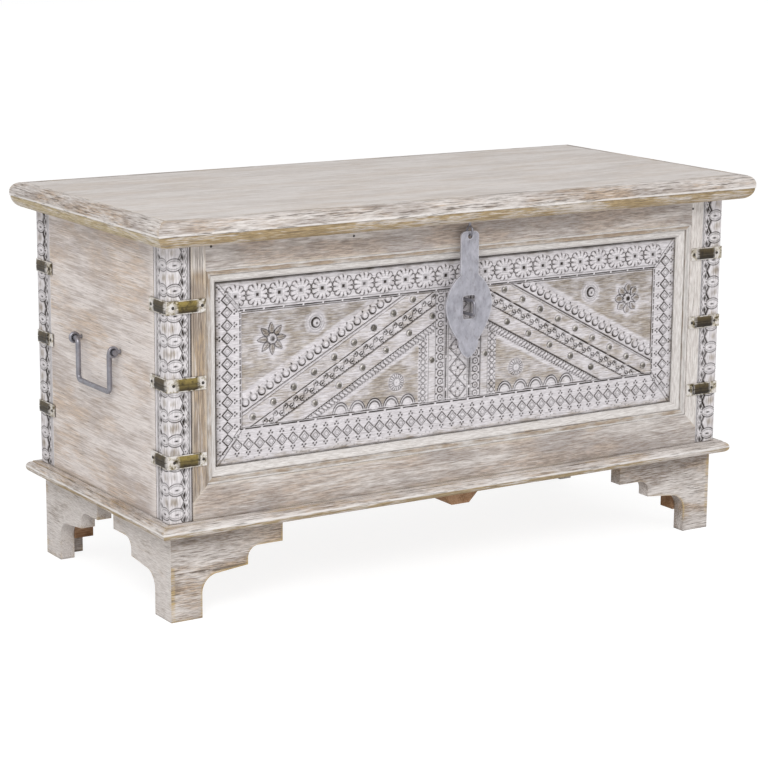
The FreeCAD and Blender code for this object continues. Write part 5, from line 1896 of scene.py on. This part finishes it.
@dataclass
class HingeScrews:
    """Slotted screws in a body hinge leaf, on the back of the chest."""

    side: Side
    finishes: Finishes
    leaf: float = 2.5
    radius: float = 3.1
    rise: float = 1.0
    margin: float = 11.0
    heights: tuple[float, float, float] = (10.0, 20.0, 10.0)
    slot: tuple[float, float, float] = (5.2, 1.1, 0.7)
    slot_proud: float = 0.08
    first_turn: float = 35.0
    turn_step: float = 50.0

    def build(self) -> None:
        """Makes the heads and the dark slots in them."""
        low, high = (corner * 1000.0 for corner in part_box(f"body_hinge_leaf_{self.side.value}"))
        heads, slots = bmesh.new(), bmesh.new()
        places = (low.x + self.margin, (low.x + high.x) / 2, high.x - self.margin)
        for i, (x, height) in enumerate(zip(places, self.heights)):
            spot = Vector((x, low.y + self.leaf, low.z + height))
            add_dome(heads, spot, Vector((0.0, 1.0, 0.0)), self.radius, self.rise)
            # Each slot is a dark box standing proud of the head: painted shade where a real slot lies in
            # shade
            made = bmesh.ops.create_cube(slots, size=0.001)["verts"]
            turn = Matrix.Rotation(math.radians(self.first_turn + self.turn_step * i), 4, "Y")
            size = Matrix.Diagonal((*self.slot, 1.0))
            out = Vector((0.0, self.rise - self.slot[1] / 2 + self.slot_proud, 0.0))
            move = Matrix.Translation((spot + out) / 1000.0) @ turn @ size
            bmesh.ops.transform(slots, matrix=move, verts=made)
        place_piece(heads, f"hinge_screws_{self.side.value}", "chest", self.finishes.iron)
        name = f"hinge_screw_slots_{self.side.value}"
        place_piece(slots, name, "chest", self.finishes.nail, smooth=False)


@dataclass(frozen=True)
class Lamp:
    """A square lamp: where it hangs, where it aims, its width in metres and its power in watts."""

    name: str
    place: tuple[float, float, float]
    target: tuple[float, float, float]
    size: float
    power: float


@dataclass
class Stage:
    """Pale floor, soft lamps and the camera at the photograph's place; lengths are metres."""

    eye: tuple[float, float, float] = (-2.0597, -3.2068, 1.1026)
    yaw: float = 32.598
    pitch: float = -12.38
    roll: float = 0.489
    lens: float = 111.5
    sensor: float = 36.0
    clip: float = 50.0
    floor_half: float = 14.0
    floor_colour: str = "#FAFAFA"
    floor_roughness: float = 0.9
    floor_glow: float = 1.16
    glow_share: float = 0.75
    sky: float = 0.56
    lamps: tuple[Lamp, ...] = (
        Lamp("key_lamp", (-2.4, -2.9, 3.0), (0.0, 0.0, 0.3), 1.6, 95.0),
        Lamp("fill_lamp", (2.8, -1.5, 2.9), (0.2, 0.0, 0.4), 2.6, 26.0),
    )

    def build(self) -> None:
        """Sets up the whole stage."""
        self._camera()
        self._floor()
        self._lamps()
        self._world()
        bpy.context.scene.view_settings.view_transform = "Standard"

    def _camera(self) -> None:
        """Places the camera from its heading, tilt and roll."""
        yaw, pitch, roll = (math.radians(angle) for angle in (self.yaw, self.pitch, self.roll))
        ahead = Vector((math.sin(yaw) * math.cos(pitch), math.cos(yaw) * math.cos(pitch), math.sin(pitch)))
        level = Vector((math.cos(yaw), -math.sin(yaw), 0.0))
        upward = level.cross(ahead)
        right = level * math.cos(roll) + upward * math.sin(roll)
        above = upward * math.cos(roll) - level * math.sin(roll)
        data = bpy.data.cameras.new("camera")
        data.lens = self.lens
        data.sensor_width = self.sensor
        data.clip_end = self.clip
        camera = bpy.data.objects.new("camera", data)
        bpy.context.scene.collection.objects.link(camera)
        turn = Matrix((right, above, -ahead)).transposed().to_4x4()
        camera.matrix_world = Matrix.Translation(self.eye) @ turn
        bpy.context.scene.camera = camera

    def _floor(self) -> None:
        """Lays a large pale floor."""
        bm = bmesh.new()
        bmesh.ops.create_grid(bm, x_segments=1, y_segments=1, size=self.floor_half)
        mesh = bpy.data.meshes.new("floor")
        bm.to_mesh(mesh)
        bm.free()
        floor = bpy.data.objects.new("floor", mesh)
        bpy.context.scene.collection.objects.link(floor)
        material, tree = blank_material("pale_floor")
        add = partial(add_node, tree)
        paint = add(SHADER, Base_Color=linear(self.floor_colour), Roughness=self.floor_roughness)
        glow = add("ShaderNodeEmission", Color=linear("#FFFFFF"), Strength=self.floor_glow)
        rays = add("ShaderNodeLightPath")
        seen = add(MATH, MULTIPLY, i0=rays.outputs["Is Camera Ray"], i1=self.glow_share)
        add(OUTPUT, Surface=add("ShaderNodeMixShader", i0=seen, i1=paint, i2=glow))
        mesh.materials.append(material)

    def _lamps(self) -> None:
        """Hangs a large soft lamp on the left and a weaker one on the right."""
        for lamp in self.lamps:
            data = bpy.data.lights.new(lamp.name, "AREA")
            data.energy = lamp.power
            data.size = lamp.size
            hung = bpy.data.objects.new(lamp.name, data)
            bpy.context.scene.collection.objects.link(hung)
            hung.location = lamp.place
            aim = Vector(lamp.target) - Vector(lamp.place)
            hung.rotation_euler = aim.to_track_quat("-Z", "Y").to_euler()

    def _world(self) -> None:
        """Sets an even sky that shows white to the camera and in gloss."""
        world = bpy.data.worlds.new("studio")
        bpy.context.scene.world = world
        world.use_nodes = True
        tree = world.node_tree
        tree.nodes.clear()
        add = partial(add_node, tree)
        rays = add("ShaderNodeLightPath").outputs
        glossy = add(MATH, MAXIMUM, i0=rays["Is Camera Ray"], i1=rays["Is Glossy Ray"])
        direct = add(MATH, MAXIMUM, i0=glossy, i1=rays["Is Transmission Ray"])
        power = add(RANGE, Value=direct, To_Min=self.sky, To_Max=1.0)
        light = add("ShaderNodeBackground", Color=linear("#FFFFFF"), Strength=power)
        add("ShaderNodeOutputWorld", Surface=light)


@dataclass
class Chest:
    """The whole chest: dresses the nodes and adds the carved and fastened pieces."""

    nodes: dict[str, Object]
    finishes: Finishes

    def build(self) -> None:
        """Dresses every node, then builds the carving and the hardware."""
        for name, node in self.nodes.items():
            finish = self._finish_of(name)
            node.data.materials.clear()
            node.data.materials.append(finish)
            LOG.info("%s: dressed in %s", name, finish.name)
        left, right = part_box("panel_mould_left"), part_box("panel_mould_right")
        lower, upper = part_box("panel_mould_bottom"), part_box("panel_mould_top")
        panel = CarvedPanel(
            face=left[1].y * 1000.0,
            half=(right[0].x - left[1].x) * 500.0,
            bottom=lower[1].z * 1000.0,
            top=upper[0].z * 1000.0,
            finishes=self.finishes,
        )
        panel.build()
        # Per side: painted shade at the lip, wash kept on the band, wash kept on the bead
        for side, lip_dark, band_wash, bead_wash in (
            (Side.TOP, 1.0, 0.25, 1.0),
            (Side.BOTTOM, 0.4, 0.35, 0.8),
            (Side.LEFT, 0.8, 0.45, 0.3),
            (Side.RIGHT, 0.5, 0.9, 0.95),
        ):
            PanelMould(side, panel, self.finishes, lip_dark, band_wash, bead_wash).build()
        PanelStuds(self.nodes["panel_studs"], self.finishes).build()
        RailNails(self.finishes).build()
        for corner in Corner:
            CarvedPost(corner, self.finishes).build()
            CornerStraps(corner, self.finishes).build()
        for side in (Side.LEFT, Side.RIGHT):
            HingeScrews(side, self.finishes).build()

    def _finish_of(self, name: str) -> Material:
        """Finds the finish of a node.

        Args:
            name: the node's name.

        Returns:
            The material.
        """
        kit = self.finishes
        sides = name.endswith(("_left", "_right"))
        rules: tuple[tuple[tuple[str, ...], Material], ...] = (
            (("lid_nosing",), kit.nosing_deep if sides else kit.nosing_along),
            (("base_moulding",), kit.base_deep if sides else kit.base_along),
            (("lid_panel",), kit.lid_top),
            (("corner_straps",), kit.brass),
            (("panel_studs",), kit.stud),
            (("lid_hinge", "body_hinge", "hinge_pin", "handle", "hasp_eye", "hasp_staple"), kit.iron),
            (("hasp",), kit.hasp),
            (("bottom_board", "lid_batten", "foot_block"), kit.bare),
            (("side_panel",), kit.deep),
            (("foot_end_bracket",), kit.foot_deep),
            (("foot_long_bracket",), kit.foot_along),
            (("centre_bearer",), kit.bare_deep),
            (("front_stile_left",), kit.upright_worn),
            (("front_stile", "corner_post"), kit.upright),
            (("panel_mould",), kit.mould_upright if sides else kit.mould_along),
        )
        return next((material for starts, material in rules if name.startswith(starts)), kit.along)


def main() -> None:
    """Builds the chest and its stage and reports every piece."""
    logging.basicConfig(level=logging.INFO, format="%(name)s: %(message)s")
    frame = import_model()
    nosing_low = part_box("lid_nosing_front")[0].z * 1000.0
    base_low, base_high = (corner.z * 1000.0 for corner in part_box("base_moulding_front"))
    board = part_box("lid_panel")[1] * 1000.0
    finishes = Finishes.make(
        lid_split=nosing_low + LID_TAN_HEIGHT,
        base_split=(base_low + base_high) / 2 - BASE_TAN_DROP,
        lid_seams=(board.x, board.y),
        foot_joint=base_low * FOOT_JOINT_SHARE,
    )
    Chest(frame["nodes"], finishes).build()
    Stage().build()


if __name__ == "__main__":
    main()
